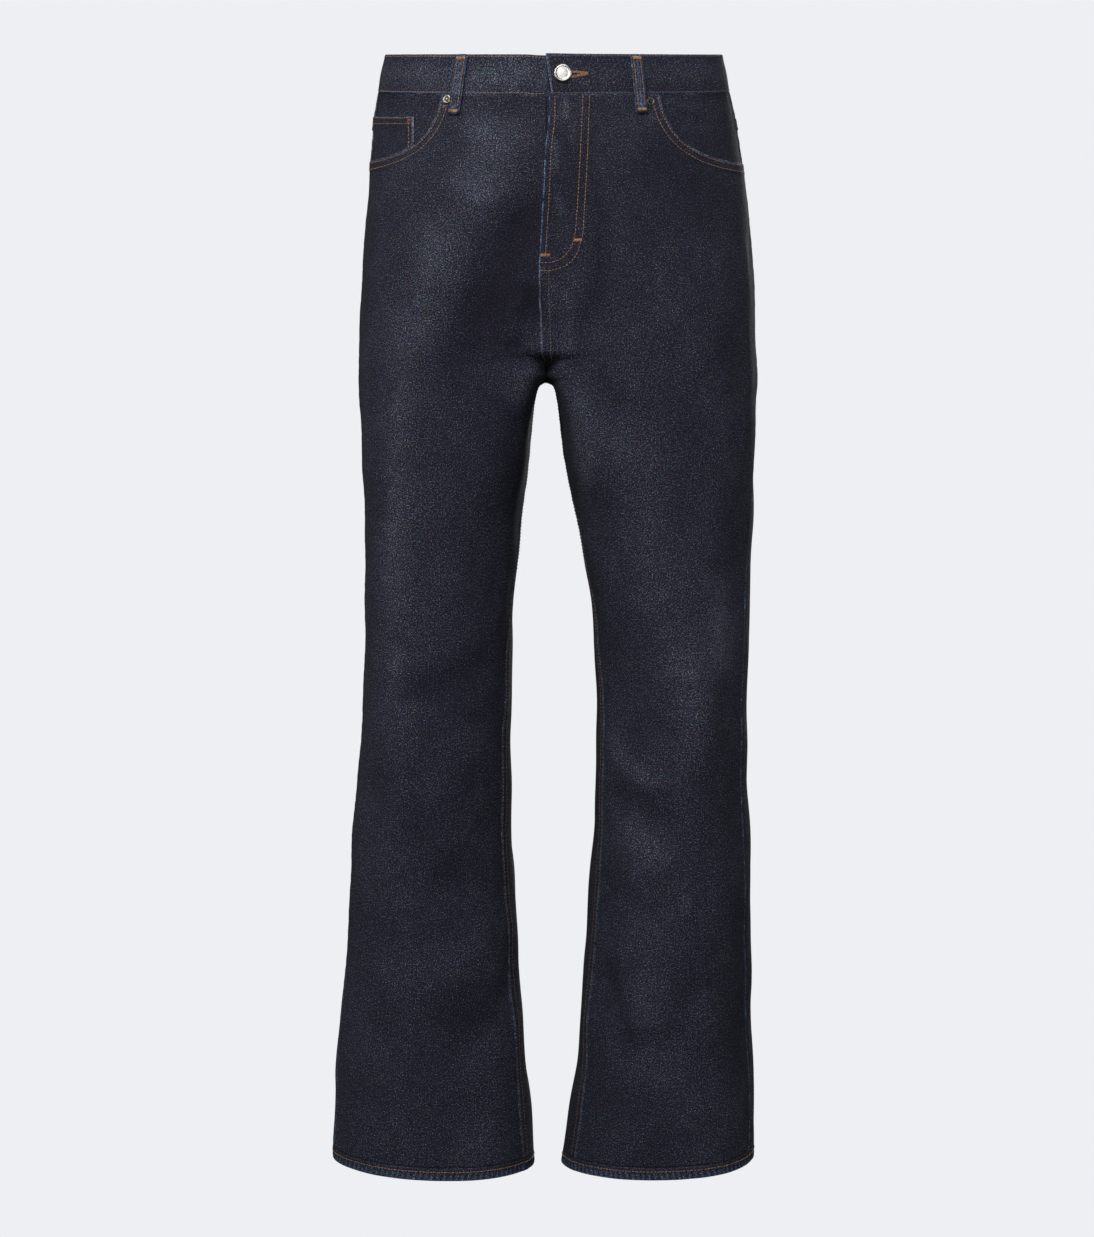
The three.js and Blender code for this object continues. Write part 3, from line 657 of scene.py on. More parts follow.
SILVER = cast_metal("satin nickel plate", "#a19f9b", "#cfcdc9", 0.34, 0.5)
ANTIQUE = cast_metal("antique nickel plate", "#4d4741", "#8b8278", 0.42, 0.4)
COPPER = cast_metal("copper plate", "#7a4a2c", "#b87a4c", 0.4, 0.4)
print("materials:", len(bpy.data.materials))

# %% [markdown]
# ## Seams
# Each piece's height over the even surface is a sum: how far out it lies, the folds that all layers share,
# and what its own seams do. A flat-felled seam is a raised band with two rows of stitches; a pressed-open
# seam stands up softly on both sides; a turned edge is double. Sewing gathers the cloth a little, so small
# uneven puckers run along every one of them.

# %% What a seam does to the cloth beside it
def pucker(at, seed, step=5.5):
    """Uneven small waves along a seam, from -1 to 1."""
    return 0.65 * wander(at, seed, step) + 0.35 * wander(at, seed + 50, step * 0.55)


SEAMS = {  # height of the band, where it ends, height of the puckers, how far they reach, wear, reach of wear
    "felled": (0.75, 9.5, 0.30, 15, 0.40, 3.4),
    "inseam": (0.40, 9.0, 0.25, 13, 0.30, 2.0),
    "lapped": (0.20, 9.5, 0.30, 15, 1.7, 0.8),
    "open": (0.45, 9.0, 0.32, 13, 0.70, 1.2),
    "joined": (0.45, 9.0, 0.32, 13, 0.10, 1.2),
    "turned": (0.45, 10.5, 0.30, 15, 1.1, 1.0),
    "under": (0.0, 1.0, 0.38, 20, 0.25, 1.6),
    "soft": (0.0, 1.0, 0.15, 10, 0.10, 1.0),
}


def seam_effect(points, seams):
    """Lift and wear from a piece's seams. seams are (kind, line of points, seed)."""
    lift, wear = np.zeros(points.shape[:-1]), np.zeros(points.shape[:-1])
    for kind, line, seed in seams:
        band, width, height, reach, worn, rub = SEAMS[kind]
        distance, at = near(points, line, 2.4 * reach)
        wavy = pucker(at, seed)
        lift += band * (1 - ease(distance, width - 1.5, width + 2.0))
        lift += height * wavy * np.exp(-(distance / reach) ** 2) * (distance < 2.4 * reach)
        uneven = np.clip(0.6 + 0.4 * wavy + 0.7 * wander(at, seed + 90, 2.6), 0, 2)
        wear += worn * np.exp(-(distance / rub) ** 2) * uneven
        if kind == "felled":
            wear += 0.3 * np.exp(-((distance - 5) / 2.5) ** 2) * (0.6 + 0.6 * wavy)
    return lift, wear


# %% Pale and dark zones: faded dye where the cloth is rubbed, and painted light and painted shade that follow the folds
# Pale zones in front: partly faded dye, partly painted light on the ridges and where the cloth turns under at
# the crotch.
FADES_AND_PAINTED_LIGHT = [  # corner points (x, z) in front, strength, half width
    ([(-44, -44), (-52, -92), (-63, -142)], 0.75, 33),
    ([(-56, -112), (-66, -166)], 0.5, 26),
    ([(-96, -136), (-112, -220), (-122, -290)], 0.5, 36),
    ([(-128, -273), (-140, -400), (-141, -550)], 0.45, 11),
    ([(-139, -550), (-141, -620)], 0.35, 8),
    ([(-30, -276), (0, -284), (34, -278)], 0.25, 22),
    ([(-10, -286), (-30, -330)], 0.8, 20),
    ([(28, -285), (30, -345), (28, -440)], 0.7, 18),
    ([(60, -320), (80, -400), (100, -480)], 0.25, 30),
    ([(96, -470), (128, -570), (120, -640)], 0.4, 26),
    ([(108, -560), (132, -616), (130, -680)], 0.3, 15),
    ([(60, -630), (76, -668), (122, -690)], 0.3, 11),
    ([(66, -728), (118, -772)], 0.4, 20),
    ([(134, -784), (134, -815)], 0.5, 5),
    ([(84, -860), (104, -930)], 0.35, 26),
    ([(24, -200), (22, -300)], 0.3, 8),
    ([(18, -34), (17, -62)], 1.0, 4),
    ([(27, -360), (30, -400), (33, -450)], 0.9, 14),
    ([(21, -392), (24, -430)], 0.9, 8),
    ([(166, -470), (170, -540), (169, -600)], 0.9, 15),
    ([(150, -440), (148, -520)], 0.25, 18),
    ([(8, -70), (9, -96), (7, -112)], 1.0, 4),
    ([(26, -58), (24, -84)], 0.8, 4),
    ([(10, -124), (16, -150)], 0.8, 5),
    ([(6, -206), (4, -240)], 0.5, 5),
    ([(90, -930), (112, -990)], 0.4, 22),
]
# Dark zones in front: painted shade in the troughs of the folds, partly darker dye.
DARK_DYE_AND_PAINTED_SHADE = [
    ([(2, -100), (-20, -170), (-46, -240), (-60, -300)], 0.75, 24),
    ([(54, -120), (52, -262)], 0.4, 10),
    ([(84, -60), (120, -110), (130, -180)], 0.65, 46),
    ([(20, -50), (30, -160)], 0.5, 26),
    ([(-100, -560), (-70, -640)], 0.5, 34),
    ([(-128, -610), (-126, -760)], 0.45, 22),
    ([(-92, -740), (-88, -830)], 0.4, 30),
    ([(-80, -870), (-74, -930)], 0.6, 26),
    ([(-13, -206), (-14, -250)], 1.3, 13),
    ([(-85, -56), (-84, -104)], 0.35, 13),
    ([(-154, -390), (-154, -440)], 0.35, 14),
    ([(-36, -262), (-38, -284)], 0.4, 10),
    ([(-129, -158), (-130, -204)], 0.25, 18),
    ([(-129, -575), (-130, -612)], 0.6, 15),
    ([(124, -582), (123, -608)], 0.3, 13),
    ([(-100, -812), (-94, -842)], 0.25, 20),
    ([(176, -740), (184, -1050)], 0.3, 26),
    ([(-178, -130), (-180, -240)], 0.5, 16),
]
# Pale zones behind, mostly along the ridges of the folds: faded dye and painted light.
FADES_AND_PAINTED_LIGHT_BEHIND = [
    ([(-120, -120), (-124, -190), (-112, -250)], 0.9, 34),
    ([(118, -118), (126, -190), (116, -256)], 0.9, 34),
    ([(-40, -236), (-90, -268), (-150, -276)], 0.5, 9),
    ([(44, -240), (98, -276), (158, -280)], 0.5, 9),
    ([(-100, -380), (-108, -500), (-100, -560)], 0.5, 30),
    ([(108, -380), (116, -500), (112, -560)], 0.5, 30),
    ([(-44, -596), (-92, -618), (-152, -622)], 0.6, 9),
    ([(54, -604), (104, -624), (166, -620)], 0.6, 9),
    ([(-46, -650), (-90, -678), (-140, -698)], 0.4, 8),
    ([(60, -652), (108, -678), (160, -700)], 0.4, 8),
    ([(-110, -760), (-118, -900)], 0.4, 30),
    ([(116, -780), (126, -920)], 0.4, 30),
]
FADE_AND_PAINTED_LIGHT_LINES = [(bend(c), s, h) for c, s, h in FADES_AND_PAINTED_LIGHT] + [(bend(c), -s, h) for c, s, h in DARK_DYE_AND_PAINTED_SHADE]
FADE_AND_PAINTED_LIGHT_LINES_BEHIND = [(bend(c), s, h) for c, s, h in FADES_AND_PAINTED_LIGHT_BEHIND]


def fade_and_painted_light_of(points, out, lift):
    """Fade and painted light in the pale zones, painted shade with darker dye in the dark ones; a little paler
    on ridges and darker in troughs, which is painted light and painted shade.
    """
    total = line_effect(points, FADE_AND_PAINTED_LIGHT_LINES, ease(-out[..., 1], 0.1, 0.6))
    total += line_effect(points, FADE_AND_PAINTED_LIGHT_LINES_BEHIND, ease(out[..., 1], 0.1, 0.6))
    # Ridges a little paler and troughs a little darker: painted light and painted shade that follow the folds.
    return total + 0.05 * lift

# %% [markdown]
# ## The panels
# A panel's rows run down the leg and its columns from seam to seam. The columns beside a seam or an edge
# keep their distance from it, so that rims, bands and puckers are sampled well, and the ones between spread
# evenly. Under the crotch the surface turns level, so the rows crowd together there.

# %% Where the seams run
SIDE_SEAMS = {1: (-0.25, 200), -1: (-0.14, 772)}  # how far each comes round, and over what height


def inseam(z):
    return 0.3 * ease(CROTCH - z, 0, 420)


def side_seam(side, z):
    turn, reach = SIDE_SEAMS[side]
    return turn * ease(CROTCH - z, 0, reach)


EDGE, LAP = 0.02 / 130, 0.6 / 130  # a front ends at its seam, and a back laps over it a little, in p
POCKET_START, POCKET_ROUND, POCKET_DROP, POCKET_HEM = -0.65, 3.5, {1: 70.0, -1: 67.0}, 14.0
YOKE_SIDE, YOKE_CENTRE, RELAXED = 36.0, 70.0, -230.0


def mouth(side, p):
    """Height of the front panel's top edge: the waist seam, then the round mouth of the pocket."""
    left = np.clip(p / POCKET_START, 0, 1)
    return WAIST_SEAM - POCKET_DROP[side] * (1 - left**POCKET_ROUND) ** (1 / POCKET_ROUND)


def yoke_seam(p):
    return WAIST_SEAM - YOKE_SIDE - (YOKE_CENTRE - YOKE_SIDE) * np.clip(p / 2, 0, 1)


# %% Seam lines as points
def evenly(line, step=1.5):
    """The same line with points a fixed step apart."""
    length = run(line)
    at = np.linspace(0, length[-1], max(2, int(length[-1] / step)))
    return np.stack([np.interp(at, length, line[:, k]) for k in range(3)], -1)


def seam_line(side, z, p):
    return evenly(skin(side, z, p))


TORSO = np.linspace(WAIST_SEAM, CROTCH + 0.5, 140)
TORSO = np.concatenate([TORSO, CROTCH + 0.5 * (1 - np.linspace(0.05, 1, 20)) ** 2])
LEG = np.concatenate([np.linspace(CROTCH - 0.3, CROTCH - 10, 20), np.linspace(CROTCH - 12, HEM, 300)])
WHOLE = np.concatenate([np.linspace(WAIST_SEAM, CROTCH, 120), LEG])


def mouth_curve(side, count):
    """Heights and p along the pocket's mouth, from the waist seam to the side seam."""
    turn = np.linspace(0, np.pi / 2, count)
    return (WAIST_SEAM - POCKET_DROP[side] * np.sin(turn) ** (2 / POCKET_ROUND),
            POCKET_START * np.cos(turn) ** (2 / POCKET_ROUND))


LINES = {}
for side in (1, -1):
    LINES[side] = {
        "waist front": seam_line(side, WAIST_SEAM, np.linspace(-2, POCKET_START, 120)),
        "waist back": seam_line(side, WAIST_SEAM, np.linspace(0, 2, 160)),
        "mouth": seam_line(side, *mouth_curve(side, 240)),
        "side": seam_line(side, WHOLE, side_seam(side, WHOLE)),
        "inseam": seam_line(side, LEG, inseam(LEG) - 2),
        "centre front": seam_line(side, TORSO, -2.0),
        "centre back": seam_line(side, TORSO, 2.0),
        "yoke": seam_line(side, yoke_seam(np.linspace(0, 2, 160)), np.linspace(0, 2, 160)),
    }
print("inseam length:", round(run(LINES[1]["inseam"])[-1]), "mm")


# %% Columns
NEXT_TO_EDGE = np.array([0, 0.12, 0.35, 0.6, 1.5, 3.0, 5.0, 7.5, 10.0, 13.0])
NEXT_TO_MOUTH = np.array([0, 0.15, 0.4, 0.7, 1.2, 2.0, 3.2, 5.0, 7.5, 10.0])


def columns(side, heights, anchors, counts):
    """The p and the distance from the first edge of every column, at each height.
    anchors are (p at each height, offsets before it, offsets after it); counts go between them."""
    first, last = anchors[0][0], anchors[-1][0]
    p = first[:, None] + (last - first)[:, None] * np.linspace(0, 1, 241)
    length = run(skin(side, heights[:, None], p))
    places = []
    for k, (where, before, after) in enumerate(anchors):
        here = np.array([np.interp(w, q, l) for w, q, l in zip(where, p, length)])[:, None]
        if k:
            left, right = places[-1][:, -1:], here - before[-1]
            places.append(left + (right - left) * np.arange(1, counts[k - 1] + 1) / (counts[k - 1] + 1))
            places.append(here - before[::-1])
        if len(after):
            places.append(here + after)
    distance = np.hstack(places)
    at = np.array([np.interp(d, l, q) for d, l, q in zip(distance, length, p)])
    return at, distance, length[:, -1]


def spread(heights, table, z):
    """Each column of a table read at that column's own heights."""
    return np.stack([np.interp(z[:, i], heights[::-1], table[::-1, i]) for i in range(z.shape[1])], -1)


def leg_rows(top, fork):
    """Heights of a panel's rows from its top edge to the top of the hem."""
    bottom, step = HEM + HEM_TURN, 2.1
    turning = CROTCH + fork * (1 - np.sqrt(1 - np.linspace(0.6, 0, 24) ** 2))
    above = np.linspace(top - 4, turning[0] + step, int((top - 4 - turning[0]) / step))
    under = CROTCH - np.array([0.4, 1, 2, 3.2, 4.6, 6.2])
    below = np.linspace(under[-1] - 1.8, bottom, int((under[-1] - bottom) / step))
    rows = np.concatenate([top - np.array([0, 0.12, 0.35, 0.6, 1.3, 2.4]), above, turning, under, below])
    return rows if len(rows) % 2 else np.delete(rows, 12)


# %% The fly: the left front laps over the right one
FLY_LEAN = np.array([
    (20, -2.9), (-36, -2.8), (-50, -2.2), (-64, -0.4), (-79, 0.9), (-107, 1.9), (-121, 2.5), (-150, 4.1),
    (-178, 5.7), (-193, 6.5), (-226, 6.6), (-240, 5.6), (-264, 4.8), (-289, 4.2),
])
FLY_END = bend([(43.5, -10), (42.5, -60), (40, -120), (37.5, -160), (34, -178), (25, -191), (10, -200),
                (-12, -204)])


def lean(z):
    """How far the lapping edge lies past the centre line, towards the wearer's right."""
    return np.interp(-z, -FLY_LEAN[:, 0], FLY_LEAN[:, 1]) * (z > CROTCH)


FLY_EDGE = {}


def fly_lift(side, points, distance=None):
    """The left front stands up over the fly and along the crotch seam; the right one sinks below it."""
    z = points[..., 2]
    if distance is None:
        distance = near(points, FLY_EDGE[side], 40)[0]
    deep = ease(z, CROTCH + 1, CROTCH + 14) * (points[..., 1] < 0)
    if side < 0:
        return -0.9 * (1 - ease(distance, 8, 17)) * deep
    gap, _ = near(points[..., [0, 2]], FLY_END, 8)
    inside = np.sign(np.interp(-z, -FLY_END[:, 1], FLY_END[:, 0]) - points[..., 0]) * (z > -204) - (z <= -204)
    flap = ease(gap * inside, -1.5, 2.5)
    seam = 1 - ease(distance, 10.5, 14)
    crumple = 0.3 * wander(distance + 0.05 * z, 71, 5.0) * wander(z + 400, 72, 24.0)
    crumple = crumple * ease(gap * inside, 0, 5)
    return (0.75 * np.maximum(flap, seam) + crumple) * deep


# %% One panel from rows, columns and seams
LIFTS = {}


def lift_for(name, side, seams, base=0.0, extra=None):
    """Keeps what lifts a piece's cloth, so that stitches can be laid on it later."""
    def lift(points, z, p, distance=None):
        raised, wear = seam_effect(points, seams)
        raised = raised + folds(side, z, p) + base
        return (raised if extra is None else raised + extra(side, points, distance)), wear
    LIFTS[name, side] = lift
    return lift


def layers(points, out, lift, wear, rim, across, down, thick=CLOTH):
    """A piece's outer and inner grids and what its points store: place on the flat cut, wear, and fade with
    painted light and painted shade.
    """
    drop = rim_drop(rim, thick / 2)
    outer = points + out * (lift - drop)[..., None]
    inner = (points + out * (lowest(lift) - thick + drop)[..., None])[::2, ::2]
    flat = np.stack([across, down, np.zeros_like(down)], -1)
    return outer, inner, {"cloth": flat, "wear": wear, "fade": fade_and_painted_light_of(points, out, lift)}


GRAIN_AT = 115  # the warp hangs straight down at this distance from the centre


def panel(side, rows, anchors, counts, top_edge, lift_of, rims, is_front, cloth_at):
    """A panel's outer and inner grids and what it stores on its points."""
    heights = np.sort(np.unique(np.concatenate([rows, [rows[0] + 1]])))[::-1]
    table, reach, total = columns(side, heights, [(a(heights), b, c) for a, b, c in anchors], counts)
    z = np.repeat(rows[:, None], table.shape[1], 1)
    for _ in range(4):  # the top edge isn't level, and its height depends on p
        p = spread(heights, table, z)
        follow = np.clip((rows[:, None] - RELAXED) / (rows[0] - RELAXED), 0, 1) ** 2
        z = rows[:, None] - (rows[0] - top_edge(p)) * follow - (SEAM_GAP / 2) * (follow > 0.99)
    p, distance = spread(heights, table, z), spread(heights, reach, z)
    whole = spread(heights, np.repeat(total[:, None], table.shape[1], 1), z)
    points, out = surface(side, z, p)
    rim = np.minimum(distance - distance[:, :1], whole - distance)
    for line in rims:
        rim = np.minimum(rim, near(points, line, 2.0)[0])
    rim = np.where(np.arange(len(rows))[:, None] == 0, 0, np.maximum(rim, 0))
    lift, wear = lift_of(points, z, p, distance - distance[:, :1])
    way = 1 if is_front else -1  # |x| grows along a front's columns and shrinks along a back's
    upright = [np.interp(GRAIN_AT, np.abs(x[::way]), d[::way]) for x, d in zip(points[..., 0], distance)]
    return layers(points, out, lift, wear, rim, distance - np.array(upright)[:, None] + cloth_at, z)


def both_layers(marks):
    """The stored values for the outer points, then for every second one on the inner face."""
    return {
        key: np.concatenate([v.reshape(-1, *v.shape[2:]), v[::2, ::2].reshape(-1, *v.shape[2:])])
        for key, v in marks.items()
    }


CUTS = {}


def sew_shell(name, outer, inner, marks):
    """Builds a piece of denim: face side out, the paler side in. Keeps the size that it is cut to."""
    points, fine, coarse, rim = shell(outer, inner)
    which = [0] * len(fine) + [1] * len(coarse) + [0] * len(rim)
    down, across = outer[1:, :-1] - outer[:-1, :-1], outer[:-1, 1:] - outer[:-1, :-1]
    area = sum(np.linalg.norm(np.cross(down, across), axis=-1).ravel())
    CUTS[name] = run(outer)[:, -1].max() * MM, run(outer.transpose(1, 0, 2))[:, -1].max() * MM, area / 1e6
    piece = build(name, points, fine + coarse + rim, [DENIM, DENIM_INSIDE], which, both_layers(marks))
    print(f"{name}: {len(piece.data.polygons)} faces, {area / 1e6:.4f} m2")


# %% Fronts
def front_start(side):
    def start(z):
        step = skin(side, z, np.full(len(z), -1.99)) - skin(side, z, np.full(len(z), -2.0))
        speed = np.linalg.norm(step, axis=-1) / 0.01  # millimetres in one p
        over = lean(z) / speed if side > 0 else 0
        return np.where(z >= CROTCH, -2 - over, -2 + inseam(z) + EDGE)
    return start


def front_panel(side):
    anchors = [
        (front_start(side), None, NEXT_TO_EDGE),
        (lambda z: -2 + inseam(z) + (side_seam(side, z) + 2 - inseam(z)) * (2 + POCKET_START) / 2,
         NEXT_TO_MOUTH, NEXT_TO_MOUTH[1:]),
        (lambda z: side_seam(side, z) - EDGE, NEXT_TO_EDGE, []),
    ]
    lines = LINES[side]
    FLY_EDGE[side] = seam_line(side, TORSO, front_start(side)(TORSO))
    seams = [("under", lines["waist front"], 11), ("turned", lines["mouth"], 12), ("open", lines["side"], 13),
             ("soft", lines["inseam"], 14), ("lapped" if side > 0 else "soft", FLY_EDGE[side], 15)]
    lift_of = lift_for("front", side, seams, 0.0, fly_lift)
    return panel(side, leg_rows(WAIST_SEAM, FRONT_FORK), anchors, [26, 24], lambda p: mouth(side, p), lift_of,
                 [lines["mouth"]], True, 400 if side < 0 else 0)


for side, hand in HANDS:
    sew_shell(f"denim_front_{hand}", *front_panel(side))


# %% Backs
def back_panel(side):
    anchors = [
        (lambda z: side_seam(side, z) - LAP, None, NEXT_TO_EDGE),
        (lambda z: np.where(z >= CROTCH, 2.0, 2 + inseam(z) + LAP), NEXT_TO_EDGE, []),
    ]
    lines = LINES[side]
    seams = [("soft", lines["yoke"], 21), ("open", lines["side"], 22), ("inseam", lines["inseam"], 23),
             ("felled" if side > 0 else "soft", lines["centre back"], 24)]
    lift_of = lift_for("back", side, seams)
    return panel(side, leg_rows(WAIST_SEAM - YOKE_SIDE, BACK_FORK), anchors, [48], yoke_seam, lift_of, [],
                 False, 800 if side < 0 else 1200)


for side, hand in HANDS:
    sew_shell(f"denim_back_{hand}", *back_panel(side))

# %% [markdown]
# ## Yokes, pocket facings and the coin pocket
# These are plain shapes on the torso, where a column keeps its p all the way down. Each runs between two
# heights given as functions of p. The facing and the coin pocket lie behind the front's pocket mouth, the
# coin pocket on top of the right facing, and their lower edges are hidden.

# %% A piece between two heights
def spaced(length, step, edge):
    """An odd number of distances along a length, some of them close to each end."""
    middle = np.linspace(edge[-1], length - edge[-1], max(3, int(length / step)))[1:-1]
    at = np.concatenate([edge, middle, length - edge[::-1]])
    return at if len(at) % 2 else np.delete(at, len(edge) + 1)


def even_columns(side, z, p_from, p_to, step=5.0):
    """Columns as p."""
    p = np.linspace(p_from, p_to, 300)
    length = run(skin(side, float(z), p))
    return np.interp(spaced(length[-1], step, NEXT_TO_EDGE[:8]), length, p)


def patch(side, p, top, bottom, lift_of, thick=CLOTH, cloth_at=(0, 0), flare=None, shear=0.0):
    """Grids of a piece whose columns run from top(p) to bottom(p). shear moves the first column's foot."""
    tops, bottoms = top(p), bottom(p)
    tallest = (tops - bottoms).max()
    share = spaced(tallest, 2.4, NEXT_TO_EDGE[:6]) / tallest
    z = tops - (tops - bottoms) * share[:, None]
    p = p + shear * (tops - z) * (p[-1] - p) / (p[-1] - p[0])
    points, out = surface(side, z, p)
    lift, wear = lift_of(points, z, p)
    if flare is not None:
        lift = lift + flare(points, z, p)
    across = run(points)
    rim = np.min([tops - z, z - bottoms, across, across[:, -1:] - across], axis=0)
    return layers(points, out, lift, wear, np.maximum(rim, 0), across + cloth_at[0], z + cloth_at[1], thick)


# %% Yokes
BESIDE_YOKE = slice(60)  # a side or centre seam's points down to the yoke's lower edge
for side, hand in HANDS:
    lines = LINES[side]
    lift_of = lift_for("yoke", side, [
        ("under", lines["waist back"], 31), ("felled", lines["yoke"], 32),
        ("joined", lines["side"][BESIDE_YOKE], 33),
        ("felled" if side > 0 else "soft", lines["centre back"][BESIDE_YOKE], 34)])
    sew_shell(f"denim_yoke_{hand}", *patch(
        side, even_columns(side, -40, -LAP, 2.0), lambda p: WAIST_SEAM + 0 * p,
        lambda p: yoke_seam(p) - 0.5, lift_of, cloth_at=(1600, 300 * side)))

# %% Pocket facings: the hip cloth seen in the pocket mouth
COIN_OUT, COIN_THICK, FACING_OUT = -1.7, 1.0, {1: -1.7, -1: -3.2}


def facing_rise(side, points, _):
    """Beside the waist seam the facing rises to meet the band."""
    return (-1.0 - FACING_OUT[side]) * np.exp(-near(points, LINES[side]["waist side"], 40)[0] / 5)


for side, hand in HANDS:
    LINES[side]["waist side"] = seam_line(side, WAIST_SEAM, np.linspace(-0.75, 0, 80))
    lift_of = lift_for("facing", side, [
        ("under", LINES[side]["waist side"], 36), ("joined", LINES[side]["side"][BESIDE_YOKE], 37)],
        FACING_OUT[side], facing_rise)
    sew_shell(f"denim_pocket_facing_{hand}", *patch(
        side, even_columns(side, -40, -0.73, -EDGE, 3.0), lambda p: WAIST_SEAM + 0.6 + 0 * p,
        lambda p: mouth(side, p) - POCKET_HEM, lift_of, cloth_at=(2000, 200 * side)))

# %% Coin pocket
COIN_TOP, COIN_INNER, COIN_SHEAR = WAIST_SEAM - 23.4, -0.515, -0.00078
coin_p = even_columns(-1, -60, COIN_INNER, -EDGE, 2.6)
coin_top_line = seam_line(-1, COIN_TOP, coin_p)
coin_side_z = np.linspace(COIN_TOP, COIN_TOP - 60, 60)
coin_side_line = seam_line(-1, coin_side_z, COIN_INNER + COIN_SHEAR * (COIN_TOP - coin_side_z))


def coin_flare(points, z, p):
    """The corner at the side seam stands out a little."""
    corner = 2.4 * np.exp(-((z - COIN_TOP) / 14) ** 2) * ease(p, -0.14, 0.0)
    return corner + 0.35 * np.sin(points[..., 0] / 5.5)


coin_seams = [("turned", coin_top_line, 41), ("turned", coin_side_line, 42)]
sew_shell("denim_coin_pocket", *patch(
    -1, coin_p, lambda p: COIN_TOP + 0 * p, lambda p: mouth(-1, p) - POCKET_HEM,
    lift_for("coin", -1, coin_seams, COIN_OUT - 0.4), COIN_THICK, (2400, 0), flare=coin_flare, shear=COIN_SHEAR))

# %% [markdown]
# ## Patch pockets on the back
# A patch pocket is a piece with a doubled top edge and turned-in sides that meet in a low point. It lies on
# the back panel and follows its folds. Its points are found by their distance from the centre back seam.

# %% Finding p at a distance from a centre seam
def place(side, z, distance, start):
    """The p at a distance along the section from the centre front (-2) or the centre back (2)."""
    z, distance = np.broadcast_arrays(np.asarray(z, float), np.asarray(distance, float))
    heights = np.linspace(z.min() - 0.5, z.max() + 0.5, 40)
    p = start - np.sign(start) * np.linspace(0, 2, 401)
    length = run(skin(side, heights[:, None], p[None]))
    steps = np.arange(0, distance.max() + 3, 1.0)
    table = np.array([np.interp(steps, row, p) for row in length])
    i = np.clip((z - heights[0]) / (heights[1] - heights[0]), 0, 38.999)
    k = np.clip(distance, 0, len(steps) - 1.001)
    i0, k0 = i.astype(int), k.astype(int)
    i, k = i - i0, k - k0
    return ((table[i0, k0] * (1 - k) + table[i0, k0 + 1] * k) * (1 - i)
            + (table[i0 + 1, k0] * (1 - k) + table[i0 + 1, k0 + 1] * k) * i)


# %% Patch pockets
PATCH = {"width": 150, "foot": 138, "height": 152, "point": 14, "top": -92, "middle": 96, "slant": 0.05,
         "out": 0.7}


def patch_place(side, u, w):
    """Height and p on the patch: u runs from -1 to 1 across it and w from 0 to 1 down it."""
    half = (PATCH["width"] + (PATCH["foot"] - PATCH["width"]) * w) / 2
    drop = w * (PATCH["height"] - PATCH["point"] * np.abs(u))
    z = PATCH["top"] - drop - u * half * PATCH["slant"]
    return z, place(side, z, PATCH["middle"] + u * half, 2)


PATCH_EDGE = [(-1, w) for w in np.linspace(0, 1, 90)] + [(u, 1) for u in np.linspace(-1, 1, 90)[1:]] + [
    (1, w) for w in np.linspace(1, 0, 90)[1:]]


def slack(u, w):
    """The pocket's mouth hangs open a little."""
    return 1.2 * np.exp(-((w - 0.02) / 0.12) ** 2) * (1 - u**2)


def patch_line(side, corners):
    u, w = np.array(corners).T
    return evenly(skin(side, *patch_place(side, u, w)))


def back_pocket(side):
    edge = NEXT_TO_EDGE[:8] / 72
    u = np.concatenate([-1 + edge, np.linspace(-1 + edge[-1], 1 - edge[-1], 35)[1:-1], 1 - edge[::-1]])
    edge = NEXT_TO_EDGE[:8] / 150
    w = np.concatenate([edge, np.linspace(edge[-1], 1 - edge[-1], 55)[1:-1], 1 - edge[::-1]])
    u, w = np.meshgrid(u, w)
    z, p = patch_place(side, u, w)
    points, out = surface(side, z, p)
    outline, top = patch_line(side, PATCH_EDGE), patch_line(side, [(x, 0) for x in np.linspace(-1, 1, 90)])
    seams = [("turned", outline, 51), ("turned", top, 52)]
    lift, wear = lift_for("pocket", side, seams, PATCH["out"] + CLOTH - 0.3)(points, z, p)
    lift = lift + slack(u, w)
    rim = np.minimum(near(points, outline, 3)[0], near(points, top, 3)[0])
    return layers(points, out, lift, wear, rim, u * 75 + 3000, z - u * 4)


for side, hand in HANDS:
    sew_shell(f"denim_back_pocket_{hand}", *back_pocket(side))

# %% [markdown]
# ## Hems, waistband, loops and the fly strip
# These are folded strips, so each is made as a closed section carried along a path. The hem is the leg's
# end turned up inside: its section is a narrow U. Sewing drags its two layers apart, which ropes the edge
# into small slanting ridges; their tops are the first place to fade.

# %% A closed section carried along a path
def carried(sections, marks, ring=False):
    """Points and faces from sections (stations, points of the closed section, 3), closed at both ends
    unless they make a ring. The points that close the ends store zeros."""
    stations, around = sections.shape[:2]
    ids = np.arange(stations * around).reshape(stations, around)
    ids = np.hstack([ids, ids[:, :1]])
    if ring:
        ids = np.vstack([ids, ids[:1]])
    faces = quads(ids)
    points = sections.reshape(-1, 3)
    if not ring:
        for k, row in ((0, ids[0]), (1, ids[-1][::-1])):
            middle = len(points)
            points = np.vstack([points, sections[-k].mean(0)])
            faces += [(int(b), int(a), middle) for a, b in zip(row[:-1], row[1:])]
    stored = {}
    for key, values in marks.items():
        values = values.reshape(stations * around, *values.shape[2:])
        ends = np.zeros((len(points) - len(values), *values.shape[1:]))
        stored[key] = np.concatenate([values, ends])
    return points, faces, stored


# %% Hems
HEM_IN, HEM_OUTER = -3.1, np.array([12, 10.4, 8.8, 7.2, 5.6, 4.2, 2.9, 1.8, 0.9])


